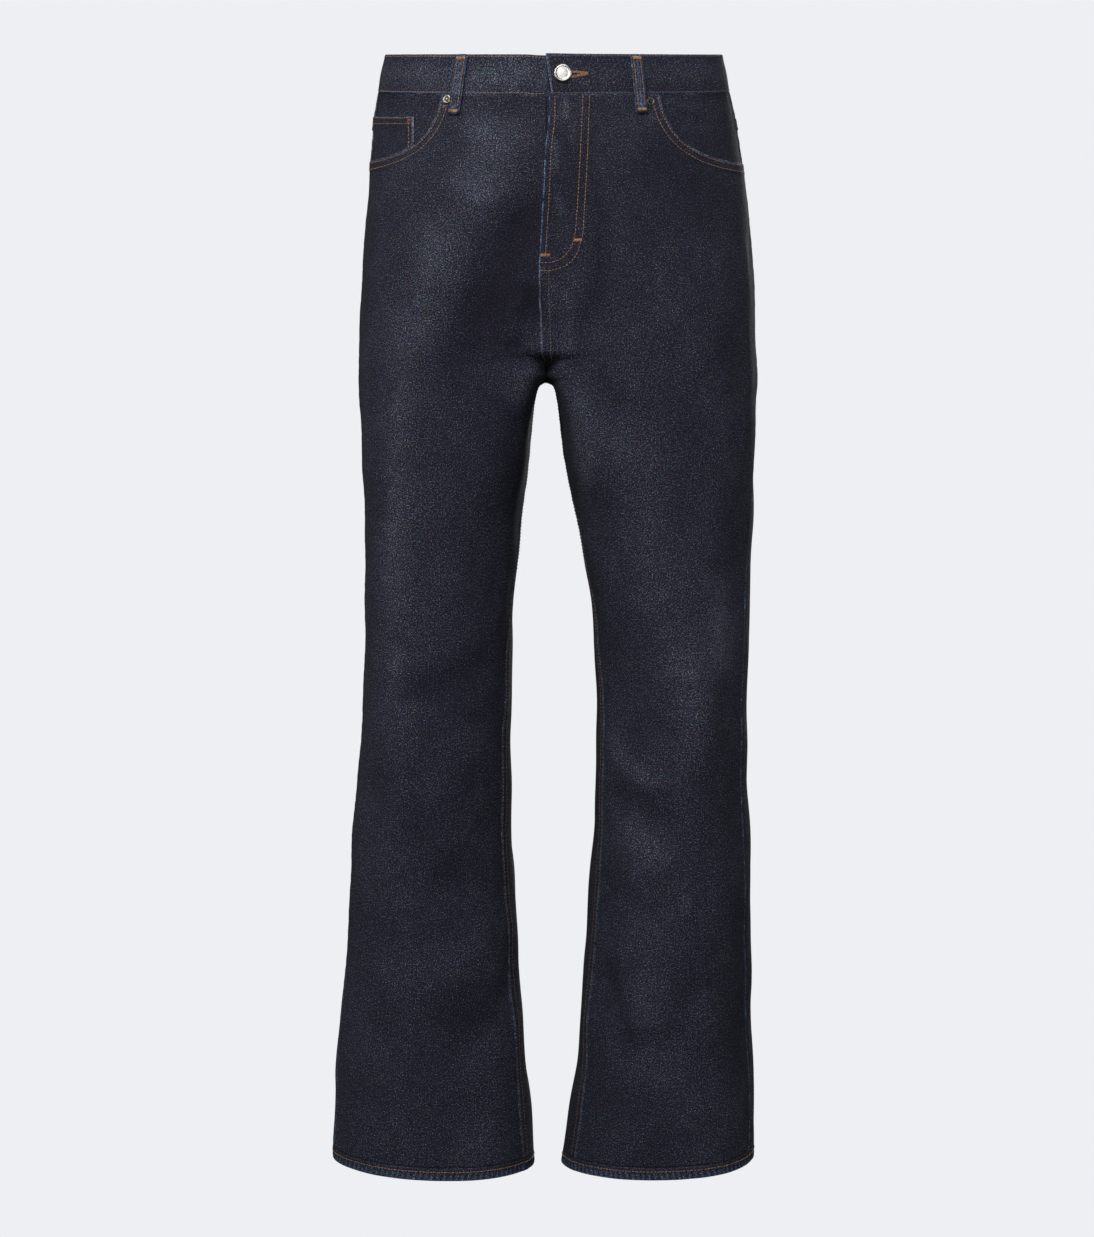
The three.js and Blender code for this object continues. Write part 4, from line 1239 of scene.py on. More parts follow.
def hem_turn(side):
    """One hem: the U section at every 1.4 mm round the leg."""
    p = np.linspace(-1.7, 2.3, 1601)
    length = run(skin(side, HEM, p))
    count = int(length[-1] / 1.4)
    s = (np.arange(count) * length[-1] / count)[:, None]
    p = np.interp(s, length, p)
    bend_out, channel = 1.55, HEM_IN + CLOTH
    turn = np.linspace(0, np.pi, 7)[1:-1]
    section = ([(h, 0.0) for h in HEM_OUTER]
               + [(0.9 - 0.9 * np.sin(a), -bend_out + bend_out * np.cos(a)) for a in turn]
               + [(h, HEM_IN) for h in (0.9, 3, 6, 9, 11.6)] + [(12, (HEM_IN + channel) / 2)]
               + [(h, channel) for h in (11.6, 7, 2.4)] + [(h, -CLOTH) for h in (2.4, 7, 11.9)])
    above, out_at = np.array(section).T
    z = HEM + np.broadcast_to(above, (count, len(section)))
    front = (p > -1.7) & (p < side_seam(side, HEM))
    pz = np.broadcast_to(p, z.shape)
    points, out = surface(side, z, pz)
    lifts = [LIFTS[kind, side](points, z, pz)[0] for kind in ("front", "back")]
    lift = np.where(front, *lifts)
    rope = np.sin(2 * np.pi * (s / 5.8 + (z - HEM) / 19) + 1.4 * wander(s, 61 + side, 14))
    on_face = (out_at > -0.8) & (above > 0.5)
    shape = np.exp(-(((z - HEM) - 4.2) / 3.6) ** 2)
    lift = lift + 0.5 * rope * shape * on_face - 0.25 * shape * on_face
    outer = points + out * (lift + out_at)[..., None]
    rubbed = np.clip(0.12 + 0.35 * rope, 0, 1) * np.exp(-(((z - HEM) - 3.2) / 3.6) ** 2) * on_face
    rubbed += (0.35 + 0.3 * rope) * np.exp(-(((z - HEM) - 0.2) / 0.9) ** 2)
    flat = np.stack([np.broadcast_to(s + 3600, z.shape), z, np.zeros_like(z)], -1)
    return carried(outer, {"cloth": flat, "wear": rubbed, "fade": 0.1 * rope * on_face * shape}, ring=True)


for side, hand in HANDS:
    points, faces, marks = hem_turn(side)
    piece = build(f"denim_hem_{hand}", points, faces, [DENIM], None, marks)
    print(piece.name, len(faces), "faces")

# %% Waistband
BAND_OUT, BAND_THICK, UNDERLAP, BAND_START, BAND_SLANT = 0.6, 3.0, 38.0, 5.2, 0.2
BAND_LOW, BAND_HIGH, BAND_TALL = WAIST_SEAM - 0.3, WAIST_TOP + 0.3, WAIST_TOP - WAIST_SEAM
LAP_RISE = 1.2


def band_path():
    """Side, p and depth of each station: left end, round the back, and under the left end again."""
    z = (BAND_LOW + BAND_HIGH) / 2
    made = []
    for side, first, last in ((1, -2, 2), (-1, 2, -2), (1, -2, float(place(1, z, UNDERLAP, -2)))):
        p = np.linspace(first, last, 2001)
        length = run(skin(side, z, p))
        start = BAND_START if not made else 0
        at = np.linspace(start, length[-1], int((length[-1] - start) / 2.6))[1:]
        if not made:
            at = np.concatenate([start + np.array([0, 0.3, 0.8, 1.5]), at])
        p = np.interp(at, length, p)
        sunk = 1.0 if len(made) == 2 else (ease((-1 - p) / 0.85) if side < 0 else 0.0)
        made.append(np.stack([np.full(len(p), side), p, np.broadcast_to(sunk, p.shape), at], -1))
    return made


def band_lift(side, points, z, p, sunk):
    """The folds and the band's own small waves: pulled tight by its stitches, loose between them. Where it
    is sunk, it lies under the other end."""
    at = points[..., 0] + 400 * (points[..., 1] > 0)
    low, high = np.exp(-((z - BAND_LOW) / 7) ** 2), np.exp(-((BAND_HIGH - z) / 7) ** 2)
    rows = 0.34 * pucker(at, 81, 6.0) * low + 0.26 * pucker(at, 82, 5.5) * high
    calm = 0.5 * wander(at, 83, 34) * np.exp(-((z - 2) / 12) ** 2)
    own = rows + calm + 0.35 * np.exp(-((z - 3) / 11) ** 2) - 0.25 * low
    return BAND_OUT + folds(side, z, p) + own - sunk * (BAND_THICK + SEAM_GAP + 0.2)


def waistband():
    radius = BAND_THICK / 2
    rows = np.concatenate([BAND_HIGH - np.array([0.5, 1.2]), np.linspace(BAND_HIGH - 3, BAND_LOW + 3, 14),
                           BAND_LOW + np.array([1.2, 0.5])])
    inside = np.linspace(BAND_LOW + 1.5, BAND_HIGH - 1.5, 8)
    section = ([(h, -0.35 * (k in (0, len(rows) - 1))) for k, h in enumerate(rows)] + [(BAND_LOW, -radius)]
               + [(h, -BAND_THICK) for h in inside] + [(BAND_HIGH, -radius)])
    height, depth = np.array(section).T
    sections, flats, wears, band_tones, so_far = [], [], [], [], 0.0
    for part in band_path():
        side, p, sunk, at = int(part[0, 0]), part[:, 1:2], part[:, 2:3], part[:, 3:4]
        z = np.broadcast_to(height, (len(p), len(section)))
        lapping = len(sections) == 0
        # the lapping end stands a little higher, and its edge leans
        z = z + LAP_RISE * (np.exp(-at / 45) * lapping) * (z - BAND_LOW) / BAND_TALL
        pz = p - BAND_SLANT * (z - BAND_LOW) / BAND_TALL * np.exp(-(at - BAND_START) / 14) * lapping
        points, out = surface(side, z, pz)
        lift = band_lift(side, points, z, pz, sunk)
        sections.append(points + out * (lift + depth)[..., None])
        flats.append(np.stack([z + 4000, np.broadcast_to(at + so_far, z.shape), np.zeros_like(z)], -1))
        so_far += part[-1, 3]
        rubs = 0.8 + 0.5 * wander(at + so_far, 87, 2.4)
        edge = rubs * (np.exp(-((z - BAND_LOW) / 0.9) ** 2) + 0.4 * np.exp(-((BAND_HIGH - z) / 1.0) ** 2))
        if lapping:
            edge = edge + np.exp(-((at - BAND_START) / 0.9) ** 2)
        wears.append(np.broadcast_to(edge, z.shape))
        # The band's tone: paler along its middle, and at the front painted paler on the wearer's right half and
        # darker on the left one.
        low = 0.45 * np.exp(-((z - 2) / 10) ** 2) + 0.15 * wander(at, 85, 30)
        seen = ease(-points[..., 1], 60, 100) * (0.55 if side < 0 else -0.3)
        band_tones.append(np.broadcast_to(low + seen, z.shape))
    return carried(np.vstack(sections), {
        "cloth": np.vstack(flats), "wear": np.vstack(wears), "fade": np.vstack(band_tones)})


points, faces, marks = waistband()
build("denim_waistband", points, faces, [DENIM], None, marks)
print("waistband:", len(faces), "faces")


def band_surface(side, z, p):
    """Points on the outside of the band, and its normals, for what is sewn to it."""
    points, out = surface(side, z, p)
    sunk = ease((-1 - p) / 0.85) if side < 0 else 0 * p
    return points + out * band_lift(side, points, z, p, sunk)[..., None], out


# %% Belt loops
LOOP = {"width": 11.4, "thick": 2.0, "lift": 0.9, "arch": 2.4}
LOOPS = [  # side, where it is measured from, distance at the top and at the bottom, height of its foot
    ("front_left", 1, -2, 85.4, 90.6, -36.8), ("front_right", -1, -2, 79.6, 87.4, -38.8),
    ("back_left", 1, 2, 112, 114, -37.0), ("back_right", -1, 2, 108, 110, -37.0),
    ("centre_back", 1, 2, 0, 0, -37.0),
]
LOOP_CUT = 0.058  # metres


def loop_surface(loop, u, w, extra=0.0):
    """Points on the outside of a loop: u from -1 to 1 across it, w from 0 to 1 down it."""
    _, side, start, top, bottom, foot = loop
    u, w, extra = np.broadcast_arrays(u, w, extra)
    z = WAIST_TOP + (foot - WAIST_TOP) * w
    s = top + (bottom - top) * w + u * LOOP["width"] / 2
    made = []
    for half in (side, -side):
        p = place(half, z, np.abs(s), start)
        wrap = np.exp(-w / 0.02) * 1.3  # the top end turns over the edge of the band
        arch = LOOP["arch"] * np.sin(np.pi * w) ** 0.8
        lift = LOOP["lift"] + arch + LOOP["thick"] - wrap + 0.8 * folds(half, z, p)
        lift = lift + 0.25 * np.sin(w * 23 + 3 * u + top) * np.sin(np.pi * w)
        points, out = surface(half, z, p)
        made.append((points + out * (lift + extra)[..., None], out))
    other = (s < 0)[..., None]
    return np.where(other, made[1][0], made[0][0]), np.where(other, made[1][1], made[0][1])


across = np.array([-1, -0.97, -0.88, -0.72, -0.54, -0.36, -0.12, 0.12, 0.36, 0.54, 0.72, 0.88, 0.97, 1])
dome = np.array([-0.9, -0.45, -0.1, 0.1, -0.15, 0.12, 0.3, 0.3, 0.12, -0.15, 0.1, -0.1, -0.45, -0.9])
w = np.concatenate([[0, 0.006, 0.02], np.linspace(0.04, 0.97, 46), [0.985, 1.0]])[:, None]
ends = 1 - 0.35 * np.exp(-(np.minimum(w, 1 - w) / 0.008))
double = 0.8 * ease(w, 0.84, 0.87) * ease(1 - w, -0.01, 0.02)  # the foot is folded under
u2 = np.broadcast_to(np.concatenate([across, across[::-1]]), (len(w), 2 * len(across)))
w2 = np.broadcast_to(w, u2.shape)
for loop in LOOPS:
    fray = 0.02 * pucker(w * 60, int(loop[3]) + 7, 1.6) * (np.abs(across) > 0.9)
    top, _ = loop_surface(loop, across * ends + fray, w, dome - (1 - ends) * 1.5 + double)
    below = -LOOP["thick"] - 0.6 * dome[::-1] + (1 - ends) * 1.5
    under, _ = loop_surface(loop, across[::-1] * ends, w, below)
    pale = 0.9 * np.exp(-(u2 / 0.42) ** 2) * (0.55 + 0.45 * wander(w2 * 57, int(loop[3]), 5))
    edge = 0.9 * np.exp(-((1 - np.abs(u2)) / 0.1) ** 2) * (0.7 + 0.6 * wander(w2 * 57, int(loop[3]) + 3, 2.2))
    flat = np.stack([u2 * 6.2 + 4500 + 40 * loop[3], w2 * 57, np.zeros_like(w2)], -1)
    points, faces, marks = carried(np.concatenate([top, under], 1), {
        "cloth": flat, "wear": 0.55 * pale + edge, "fade": 0.9 * pale})
    build(f"denim_belt_loop_{loop[0]}", points, faces, [DENIM], None, marks)
print("loops:", len(LOOPS))

# %% Fly strip, behind the fly
SHIELD = {"right": 12.0, "left": 38.0, "bottom": -186.0, "out": -2.6, "thick": 1.6}


def fly_strip():
    s = np.linspace(-SHIELD["right"], SHIELD["left"], 31)[None]
    z = np.linspace(WAIST_SEAM - SEAM_GAP, SHIELD["bottom"], 91)[:, None]
    z, s = np.broadcast_arrays(z, s)
    z = z + 14 * ease(s, 8, 38) * ease(-z, 150, 186)  # its lower corner is cut round
    halves = []
    for side in (1, -1):
        p = place(side, z, np.abs(s), -2)
        halves.append((*surface(side, z, p), folds(side, z, p)))
    left = s >= 0
    points, out = (np.where(left[..., None], halves[0][k], halves[1][k]) for k in (0, 1))
    rim = np.minimum.reduce([s + SHIELD["right"], SHIELD["left"] - s, z - SHIELD["bottom"] + 1])
    drop = rim_drop(np.maximum(rim, 0), CLOTH / 2)
    lift = np.where(left, halves[0][2], halves[1][2]) + SHIELD["out"] + fly_lift(-1, points) * (s < 8)
    outer = points + out * (lift - drop)[..., None]
    inner = (points + out * (lift - SHIELD["thick"] + drop)[..., None])[::2, ::2]
    flat = np.stack([s + 5200, z, np.zeros_like(z)], -1)
    return outer, inner, {"cloth": flat, "wear": 0.5 * np.exp(-rim / 1.2), "fade": 0 * z}


sew_shell("denim_fly_shield", *fly_strip())

# %% [markdown]
# ## Button and rivets
# The shank button is cast and plated, with a raised rim, a shallow dish and a low crown. A rivet is a small
# pressed cap whose burr stands in a dimple. Each is turned from a profile and set square to the cloth.
# The button could slide out of its hole; it stays buttoned, and it is one solid with the garment here.

# %% Turned shapes
def turned(name, profile, foot, out, finish, segments):
    """A shape turned from (radius, height) pairs in millimetres about the cloth's normal."""
    out = np.array(out) / np.linalg.norm(out)
    across = np.cross([0, 0, 1.0], out)
    across /= np.linalg.norm(across)
    up = np.cross(out, across)
    angle = np.linspace(0, 2 * np.pi, segments, endpoint=False)
    ring = np.cos(angle)[:, None] * across + np.sin(angle)[:, None] * up
    rows = [foot + r * ring + h * out for r, h in profile]
    points = np.vstack(rows + [foot + out * profile[0][1], foot + out * profile[-1][1]])
    ids = np.arange(len(profile) * segments).reshape(len(profile), segments)
    ids = np.hstack([ids, ids[:, :1]])
    faces = quads(ids)
    low, high = len(points) - 2, len(points) - 1
    faces += [(int(b), int(a), low) for a, b in zip(ids[0, :-1], ids[0, 1:])]
    faces += [(int(a), int(b), high) for a, b in zip(ids[-1, :-1], ids[-1, 1:])]
    build(name, points, faces, [finish])


# %% Shank button
BUTTON = {"at": 16.0, "z": 3.0}  # distance from the centre front, and height
button_p = place(1, BUTTON["z"], BUTTON["at"], -2)
button_foot, button_out = surface(1, BUTTON["z"], button_p)
turned("shank_button", [
    (2.5, -3.1), (2.5, 1.0), (3.2, 1.15), (6.8, 1.0), (7.9, 1.2), (8.35, 1.6), (8.5, 2.2), (8.42, 2.9),
    (8.1, 3.5), (7.6, 3.85), (7.1, 3.95), (6.7, 3.85), (6.35, 3.6), (6.0, 3.5), (4.5, 3.62), (3.0, 3.74),
    (1.5, 3.8), (0.3, 3.82),
], button_foot, button_out, SILVER, 64)


# %% Rivets
def rivet_profile(r):
    """Shares of the radius: the rim, the dimple and the burr that stands in it."""
    shares = [(1, 0), (1, 0.10), (0.97, 0.2), (0.88, 0.28), (0.74, 0.3), (0.6, 0.26), (0.48, 0.06),
              (0.43, -0.1), (0.31, -0.1), (0.27, 0.24), (0.18, 0.36), (0.08, 0.39)]
    return [(across * r, up * r) for across, up in shares]


RIVETS = [  # name, side, height, distance from the centre front, radius, finish, the piece it is set in
    ("rivet_left", 1, -24, 100.4, 4.1, ANTIQUE, "front"),
    ("rivet_right", -1, -22, 94.9, 4.4, SILVER, "front"),
    ("rivet_coin", -1, COIN_TOP - 4.6, 139, 2.2, COPPER, "coin"),
]
for name, side, z, s, radius, finish, kind in RIVETS:
    p = place(side, z, s, -2)
    foot, out = surface(side, z, p)
    lift, _ = LIFTS[kind, side](foot[None], np.array([float(z)]), np.array([float(p)]))
    turned(f"{name}_cap", rivet_profile(radius), foot + out * (float(lift[0]) - 0.1), out, finish, 32)

# %% [markdown]
# ## Stitches
# Some three thousand stitches hold the jeans together, each a short bridge of thread that dives into the
# cloth at both ends. Geometry Nodes put one small arched tube on every point of a row, turned along the
# seam and square to the cloth. Bar tacks and the buttonhole use the same tube, set close and crosswise.

# %% The tree that lays stitches
def stitch_tree():
    tree = bpy.data.node_groups.new("lay stitches", "GeometryNodeTree")
    face = tree.interface
    face.new_socket("Geometry", in_out="INPUT", socket_type="NodeSocketGeometry")
    for name, size in (("Stitch length", 2.7), ("Thread width", 0.6), ("Rise", 0.5)):
        face.new_socket(name, in_out="INPUT", socket_type="NodeSocketFloat").default_value = size * MM
    face.new_socket("Seed", in_out="INPUT", socket_type="NodeSocketInt").default_value = 5
    face.new_socket("Thread", in_out="INPUT", socket_type="NodeSocketMaterial")
    face.new_socket("Geometry", in_out="OUTPUT", socket_type="NodeSocketGeometry")
    given = tree.nodes.new("NodeGroupInput").outputs
    half = maths(tree, "MULTIPLY", given["Stitch length"], 0.5)
    back = maths(tree, "MULTIPLY", half, -1.0)
    dive = maths(tree, "MULTIPLY", given["Thread width"], -0.55)
    ends = [node(tree, "ShaderNodeCombineXYZ", {"X": x, "Z": z}).outputs[0]
            for x, z in ((back, dive), (0.0, given["Rise"]), (half, dive))]
    arch = node(tree, "GeometryNodeCurveQuadraticBezier", {
        "Resolution": 4, "Start": ends[0], "Middle": ends[1], "End": ends[2]})
    radius = maths(tree, "MULTIPLY", given["Thread width"], 0.5)
    ring = node(tree, "GeometryNodeCurvePrimitiveCircle", {"Resolution": 5, "Radius": radius})
    tube = node(tree, "GeometryNodeCurveToMesh", {"Curve": arch.outputs[0], "Profile Curve": ring.outputs[0],
                                                  "Fill Caps": True})
    run_way, up_way = (node(tree, "GeometryNodeInputNamedAttribute", {"Name": name},
                            data_type="FLOAT_VECTOR").outputs[0] for name in ("run", "up"))
    turn = node(tree, "FunctionNodeAxesToRotation", {"Primary Axis": up_way, "Secondary Axis": run_way},
                primary_axis="Z", secondary_axis="X")
    vary = node(tree, "FunctionNodeRandomValue", {"Min": (0.88, 0.85, 0.8), "Max": (1.04, 1.1, 1.25),
                                                  "Seed": given["Seed"]}, data_type="FLOAT_VECTOR")
    laid = node(tree, "GeometryNodeInstanceOnPoints", {
        "Points": given["Geometry"], "Instance": tube.outputs[0], "Rotation": turn.outputs[0],
        "Scale": vary.outputs[0]})
    real = node(tree, "GeometryNodeRealizeInstances", {"Geometry": laid.outputs[0]})
    smooth = node(tree, "GeometryNodeSetShadeSmooth", {"Geometry": real.outputs[0]})
    done = node(tree, "GeometryNodeSetMaterial", {"Geometry": smooth.outputs[0], "Material": given["Thread"]})
    node(tree, "NodeGroupOutput", {0: done.outputs[0]})
    return tree


STITCHES = stitch_tree()


# %% Laying rows of stitches
def stitch_points(line, out, pitch, crosswise=False):
    """Evenly spaced stitch places on a line: point, direction and normal."""
    length = run(line)
    count = max(1, int(round(length[-1] / pitch)))
    at = (np.arange(count) + 0.5) * length[-1] / count

    def read_at(places, values):
        return np.stack([np.interp(places, length, values[:, k]) for k in range(3)], -1)

    normals = read_at(at, out)
    ahead, behind = (read_at(np.clip(at + d, 0, length[-1]), line) for d in (pitch / 2, -pitch / 2))
    way = ahead - behind
    return read_at(at, line), (np.cross(normals, way) if crosswise else way), normals


def sew(name, rows, pitch=3.5, length=2.45, width=0.64, rise=0.5, crosswise=False, thread=None, seed=5):
    """One mesh of stitches from rows of (points, normals) in millimetres."""
    parts = [stitch_points(line, out, pitch, crosswise) for line, out in rows]
    points, ways, ups = (np.vstack([part[k] for part in parts]) for k in range(3))
    mesh = bpy.data.meshes.new(name)
    mesh.from_pydata((points * MM).tolist(), [], [])
    for key, values in (("run", ways), ("up", ups)):
        stored = mesh.attributes.new(key, "FLOAT_VECTOR", "POINT").data
        stored.foreach_set("vector", values.astype(np.float32).ravel())
    piece = add(name, mesh)
    modifier = piece.modifiers.new("lay stitches", "NODES")
    modifier.node_group = STITCHES
    sizes = {"Stitch length": length * MM, "Thread width": width * MM, "Rise": rise * MM, "Seed": seed,
             "Thread": thread or THREAD}
    for item in STITCHES.interface.items_tree:
        if item.in_out == "INPUT" and item.name in sizes:
            modifier[item.identifier] = sizes[item.name]
    piece.update_tag()
    bpy.context.view_layer.update()
    made = bpy.data.meshes.new_from_object(piece.evaluated_get(bpy.context.evaluated_depsgraph_get()))
    piece.modifiers.clear()
    piece.data = made
    made.name = name
    PIECES[name] = piece
    print(f"{name}: {len(points)} stitches, {len(made.polygons)} faces")


# %% Rows on the cloth
def on(kind, side, z, p, above=0.12):
    """Points on the outside of a piece and its normals, for arrays of heights and p."""
    points, out = surface(side, z, p)
    lift, _ = LIFTS[kind, side](points, z, p)
    return points + out * (lift + above)[..., None], out


def beside(side, z, p, offset):
    """The same line moved sideways over the surface, in millimetres; a positive offset goes left of it."""
    start = skin(side, z, p)
    way = np.gradient(start, axis=0)
    across = np.cross(facing(side, z, p), way)
    goal = start + offset * across / (np.linalg.norm(across, axis=1, keepdims=True) + 1e-9)
    z2, p2 = z.astype(float).copy(), p.astype(float).copy()
    for _ in range(3):
        here = skin(side, z2, p2)
        along_z = (skin(side, z2 + 0.5, p2) - here) / 0.5
        along_p = (skin(side, z2, p2 + 0.004) - here) / 0.004
        left = goal - here
        a, b, c = (along_z**2).sum(1), (along_z * along_p).sum(1), (along_p**2).sum(1)
        u, v = (left * along_z).sum(1), (left * along_p).sum(1)
        span = a * c - b * b + 1e-9
        z2 += (u * c - v * b) / span
        p2 += (v * a - u * b) / span
    return z2, p2


def spot(side, x, height, face=-1):
    """Height and p of the place seen at (x, height) from the front (face -1) or from behind (face 1)."""
    x = np.abs(x) * np.sign(x * side) - HALF_APART
    z = np.asarray(height, float).copy()
    for _ in range(5):
        outer, inner = read(WIDTHS[side], z, 1), np.where(z < CROTCH, read(WIDTHS[side], z, 2), 0)
        middle = np.where(z < CROTCH, (outer + inner) / 2, outer * read(DEPTHS, z, 3))
        reach, power = rounding(z, FRONT_FORK if face < 0 else BACK_FORK), squareness(z, face)
        end = fullness(z, reach, np.full_like(z, face)) * np.sin(reach)
        round_side = np.arccos(np.clip((x - middle) / (outer - middle), 0, 1)) / (np.pi / 2)
        along = np.clip((middle - x) * end / (middle - inner), 0, 1)
        inward = 1 + np.arctan2(along, (1 - along**power) ** (1 / power)) / reach
        p = face * np.where(x >= middle, round_side, inward)
        z = z + height - skin(side, z, p)[..., 2]
    return z, p


# %% Fronts: pocket mouths, fly and crotch
def dense(corners, step=1.2):
    """A bent line through (x, height) corners with points close together."""
    line = bend(corners)
    line = evenly(np.column_stack([line, np.zeros(len(line))]), step)
    return line[:, 0], line[:, 1]


def mouth_rows(side):
    z, p = mouth_curve(side, 400)
    rows = []
    for inset in (2.3, 8.6):
        z2, p2 = beside(side, z, p, -inset * side)
        kept = (z2 < WAIST_SEAM - 1.2) & (p2 < -0.01)
        rows.append(on("front", side, z2[kept], p2[kept]))
    return rows


fly_z = np.linspace(WAIST_SEAM - 1, -287, 500)
fly_p = front_start(1)(fly_z)
edge_z, edge_p = beside(1, fly_z, fly_p, 5.7)
shown = edge_z > -183.5
fly_rows = [on("front", 1, edge_z[shown], edge_p[shown])]
J_INNER = [(35, -34), (32.1, -96.3), (29.3, -143.5), (27.7, -163.7), (25.5, -173.1), (22.7, -179.7),
           (14.8, -188.4), (5.4, -192), (-4.9, -192.7)]
J_OUTER = [(41.1, -34), (38.9, -96.3), (36.1, -143.5), (35, -163.7), (32.6, -173.4), (30.5, -181.3),
           (24.3, -190.8), (14.8, -197), (3.8, -199.9), (-5.5, -199.6)]
for corners in (J_INNER, J_OUTER):
    x, height = dense(corners)
    fly_rows.append(on("front", 1, *spot(1, x, height)))
sew("thread_front", mouth_rows(1) + mouth_rows(-1) + fly_rows)
fork_rows = []
for inset in (1.4, 9.4):
    z2, p2 = beside(1, fly_z, fly_p, inset)
    low = (z2 < -194) & (z2 > -289)
    fork_rows.append(on("front", 1, z2[low], p2[low], 0.3))
sew("thread_fork", fork_rows, width=0.6, thread=THREAD_DARK, seed=17)

# %% Backs: yokes, centre seam, inseams, hems and patch pockets
FELLED_ROWS = (1.6, 8.4)


def back_rows(side):
    p = np.linspace(0.02, 1.985, 500)
    rows = [on("yoke", side, yoke_seam(p) + above, p) for above in FELLED_ROWS]
    if side > 0:
        for inset in FELLED_ROWS:
            for kind, top, bottom in (("yoke", WAIST_SEAM - 1, WAIST_SEAM - YOKE_CENTRE + 1),
                                      ("back", WAIST_SEAM - YOKE_CENTRE - 1, CROTCH + 6)):
                z = np.linspace(top, bottom, 200)
                rows.append(on(kind, side, z, place(side, z, inset, 2)))
    return rows


def inseam_rows(side):
    z = np.linspace(CROTCH - 5, HEM + HEM_TURN + 1, 900)
    return [on("back", side, *beside(side, z, 2 + inseam(z), -inset * side)) for inset in (1.3, 8.0)]


def hem_rows(side):
    corner = side_seam(side, HEM)
    front, back = np.linspace(inseam(HEM) - 2, corner, 400), np.linspace(corner, 2 + inseam(HEM), 400)
    return [on(kind, side, np.full(400, HEM + 8.2), p, 0.3) for kind, p in (("front", front), ("back", back))]


def pocket_rows(side):
    rows = []
    for inset in (1.7, 8.0):
        u, w = 1 - inset / 71, 1 - inset / PATCH["height"]
        path = ([(-u, a) for a in np.linspace(0.012, w, 80)] + [(a, w) for a in np.linspace(-u, u, 80)[1:-1]]
                + [(u, a) for a in np.linspace(w, 0.012, 80)])
        rows.append(path)
    rows += [[(a, w) for a in np.linspace(-0.98, 0.98, 90)] for w in (0.013, 0.075)]
    made = []
    for path in rows:
        u, w = np.array(path).T
        made.append(on("pocket", side, *patch_place(side, u, w), 0.12 + slack(u, w)))
    return made


sew("thread_back", [row for side in (1, -1) for row in back_rows(side) + pocket_rows(side)], seed=6)
sew("thread_hems", hem_rows(1) + hem_rows(-1), seed=7)
sew("thread_inseams", inseam_rows(1) + inseam_rows(-1), width=0.45, thread=THREAD_DARK, seed=15)

# %% Coin pocket, waistband and loops
def coin_rows():
    across = np.linspace(COIN_INNER + 0.015, -0.02, 200)
    down = np.linspace(COIN_TOP - 0.8, COIN_TOP - 60, 200)
    lines = [(COIN_TOP - inset + 0 * across, across) for inset in (1.3, 7.1)]
    lines += [beside(-1, down, COIN_INNER + COIN_SHEAR * (COIN_TOP - down), -inset) for inset in (1.7, 6.4)]
    made = []
    for z, p in lines:
        shown = z > mouth(-1, p) + 1
        z, p = z[shown], p[shown]
        made.append(on("coin", -1, z, p, 0.12 + coin_flare(skin(-1, z, p), z, p)))
    return made


def band_row(side, z, first, last):
    points, out = band_surface(side, np.full(600, z), np.linspace(first, last, 600))
    return points + out * 0.15, out


def loop_row(loop, u, w, above=0.32):
    u, w = np.broadcast_arrays(np.asarray(u, float), np.asarray(w, float))
    return loop_surface(loop, u, w, above)


end_z = np.linspace(BAND_LOW + 1.5, BAND_HIGH - 2, 60)
end_p = place(1, end_z, BAND_START + 1.6, -2) - BAND_SLANT * 0.9 * (end_z - BAND_LOW) / BAND_TALL
lap_end, lap_out = band_surface(1, end_z, end_p)
down = np.linspace(0.02, 0.98, 80)
sew("thread_coin_pocket", coin_rows(), seed=8)
sew("thread_band_right", [band_row(-1, z, -1.97, 2) for z in (BAND_HIGH - 2.3, BAND_LOW + 1.6)], seed=9)
sew("thread_band_left", [band_row(1, BAND_HIGH - 2.0, -1.96, 2), band_row(1, BAND_LOW + 1.6, -1.88, 2),
                         (lap_end + 0.15 * lap_out, lap_out)], thread=THREAD_DARK, seed=10)
loop_rows = [loop_row(loop, u, down) for loop in LOOPS for u in (-0.58, 0.58)]
sew("thread_loops", loop_rows, pitch=3.2, length=2.5, seed=11)

# %% Bar tacks and the buttonhole
def tack_on(kind, side, x, height, above=0.35):
    """A short line seen from the front at (x, height), laid on a piece."""
    z, p = spot(side, np.linspace(*x, 30), np.linspace(*height, 30))
    return on(kind, side, z, p, above)


def pocket_tack(side, u):
    w = np.full(30, 0.016)
    u = np.linspace(u - 0.06, u + 0.06, 30)
    return on("pocket", side, *patch_place(side, u, w), 0.5)


tacks = [tack_on("front", 1, (26, 34), (-171.4, -171.4)), tack_on("front", 1, (-4.8, 3.6), (-185.4, -185.4))]
tacks += [loop_row(loop, np.linspace(-0.74, 0.74, 30), w, 1.3) for loop in LOOPS for w in (0.075, 0.94)]
tacks += [pocket_tack(side, u) for side in (1, -1) for u in (-0.93, 0.93)]
sew("thread_tacks", tacks, pitch=0.45, length=2.6, width=0.55, rise=0.55, crosswise=True, seed=12)

coin_z, coin_q = np.linspace(COIN_TOP - 1, COIN_TOP - 10, 30), np.full(30, -0.035)
coin_tack = on("coin", -1, coin_z, coin_q, 0.4 + coin_flare(skin(-1, coin_z, coin_q), coin_z, coin_q))
small = [coin_tack, tack_on("front", -1, (-97, -93), (-43.5, -43.5), 0.5)]
sew("thread_small_tacks", small, pitch=0.5, length=2.6, width=0.5, crosswise=True, thread=THREAD_DARK,
    seed=13)

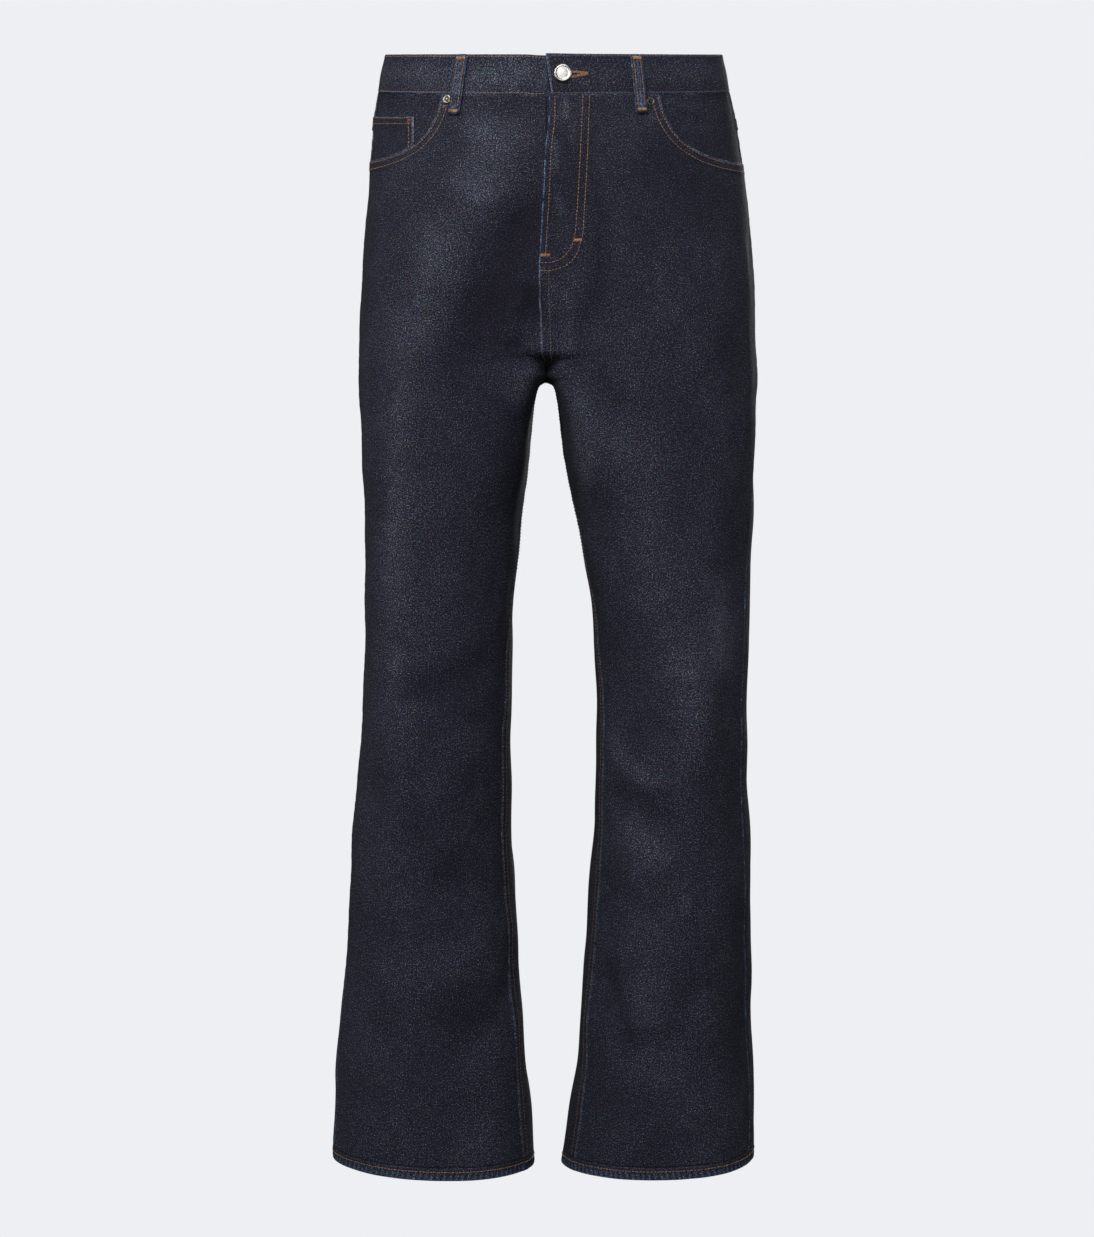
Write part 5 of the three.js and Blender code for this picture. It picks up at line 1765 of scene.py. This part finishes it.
x, height = dense([(22, -12.2), (27, -11.9), (33, -12.5), (38.5, -13.1), (39.4, -13.5), (38.5, -13.9),
                   (33, -15.0), (27, -16.3), (22, -16.6)], 0.4)
hole_z, hole_p = spot(1, x, height)
hole, hole_out = band_surface(1, hole_z, hole_p)
sew("thread_buttonhole", [(hole + 0.3 * hole_out, hole_out)], pitch=0.55, length=2.3, width=0.5,
    crosswise=True, seed=14)

# %% [markdown]
# ## Pieces on the body
# Every piece rides on the garment's one body and stands for the part of the same name, whose solid is
# hidden. The button's tack stays as it was turned and gets the antique finish. The size that each cloth
# piece was cut to is printed: its greatest width and length along the cloth, and the area between.

# %% The tack that stays
tack_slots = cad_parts["button_tack"].material_slots
for slot in tack_slots:
    slot.material = ANTIQUE
print("button_tack slots:", len(tack_slots))

# %% What rides and what is replaced; each piece's finish is looked up but not used
SAME_AS = {"shank_button": "button"}
FINISH = {DENIM: "denim", SILVER: "button_metal", ANTIQUE: "dark_metal", COPPER: "copper"}
for name, piece in PIECES.items():
    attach(piece, "root")
    part = SAME_AS.get(name, name.replace("denim_", "").replace("_cap", ""))
    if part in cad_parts:
        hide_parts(part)
    finish = FINISH.get(piece.data.materials[0])

# %% The cut of every cloth piece
def cut_of_strip(name, length):
    """A folded strip laid open: its length, and the width that its area gives."""
    mesh = PIECES[name].data
    area = sum(face.area for face in mesh.polygons) / 2
    return length, area / length, area


for name, piece in PIECES.items():
    if name in CUTS:
        width, length, area = CUTS[name]
    elif name.startswith("denim_hem"):
        side = 1 if name.endswith("left") else -1
        width, length, area = cut_of_strip(name, run(skin(side, HEM, np.linspace(-2, 2, 801)))[-1] * MM)
    elif name == "denim_waistband":
        width, length, area = cut_of_strip(name, (girth(0.0) + UNDERLAP - BAND_START) * MM)
    elif name.startswith("denim_belt_loop"):
        width, length, area = cut_of_strip(name, LOOP_CUT)
    else:
        continue
    print(f"{name}: cut {width * 1000:.0f} x {length * 1000:.0f} mm, {area * 1e4:.0f} cm2")

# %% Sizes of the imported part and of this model
visual_box = [list(corner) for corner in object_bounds()]
grown = [[round((v - c) * 1000, 1) for v, c in zip(a, b)] for a, b in zip(visual_box, cad_box)]
print("grown by (mm):", grown)
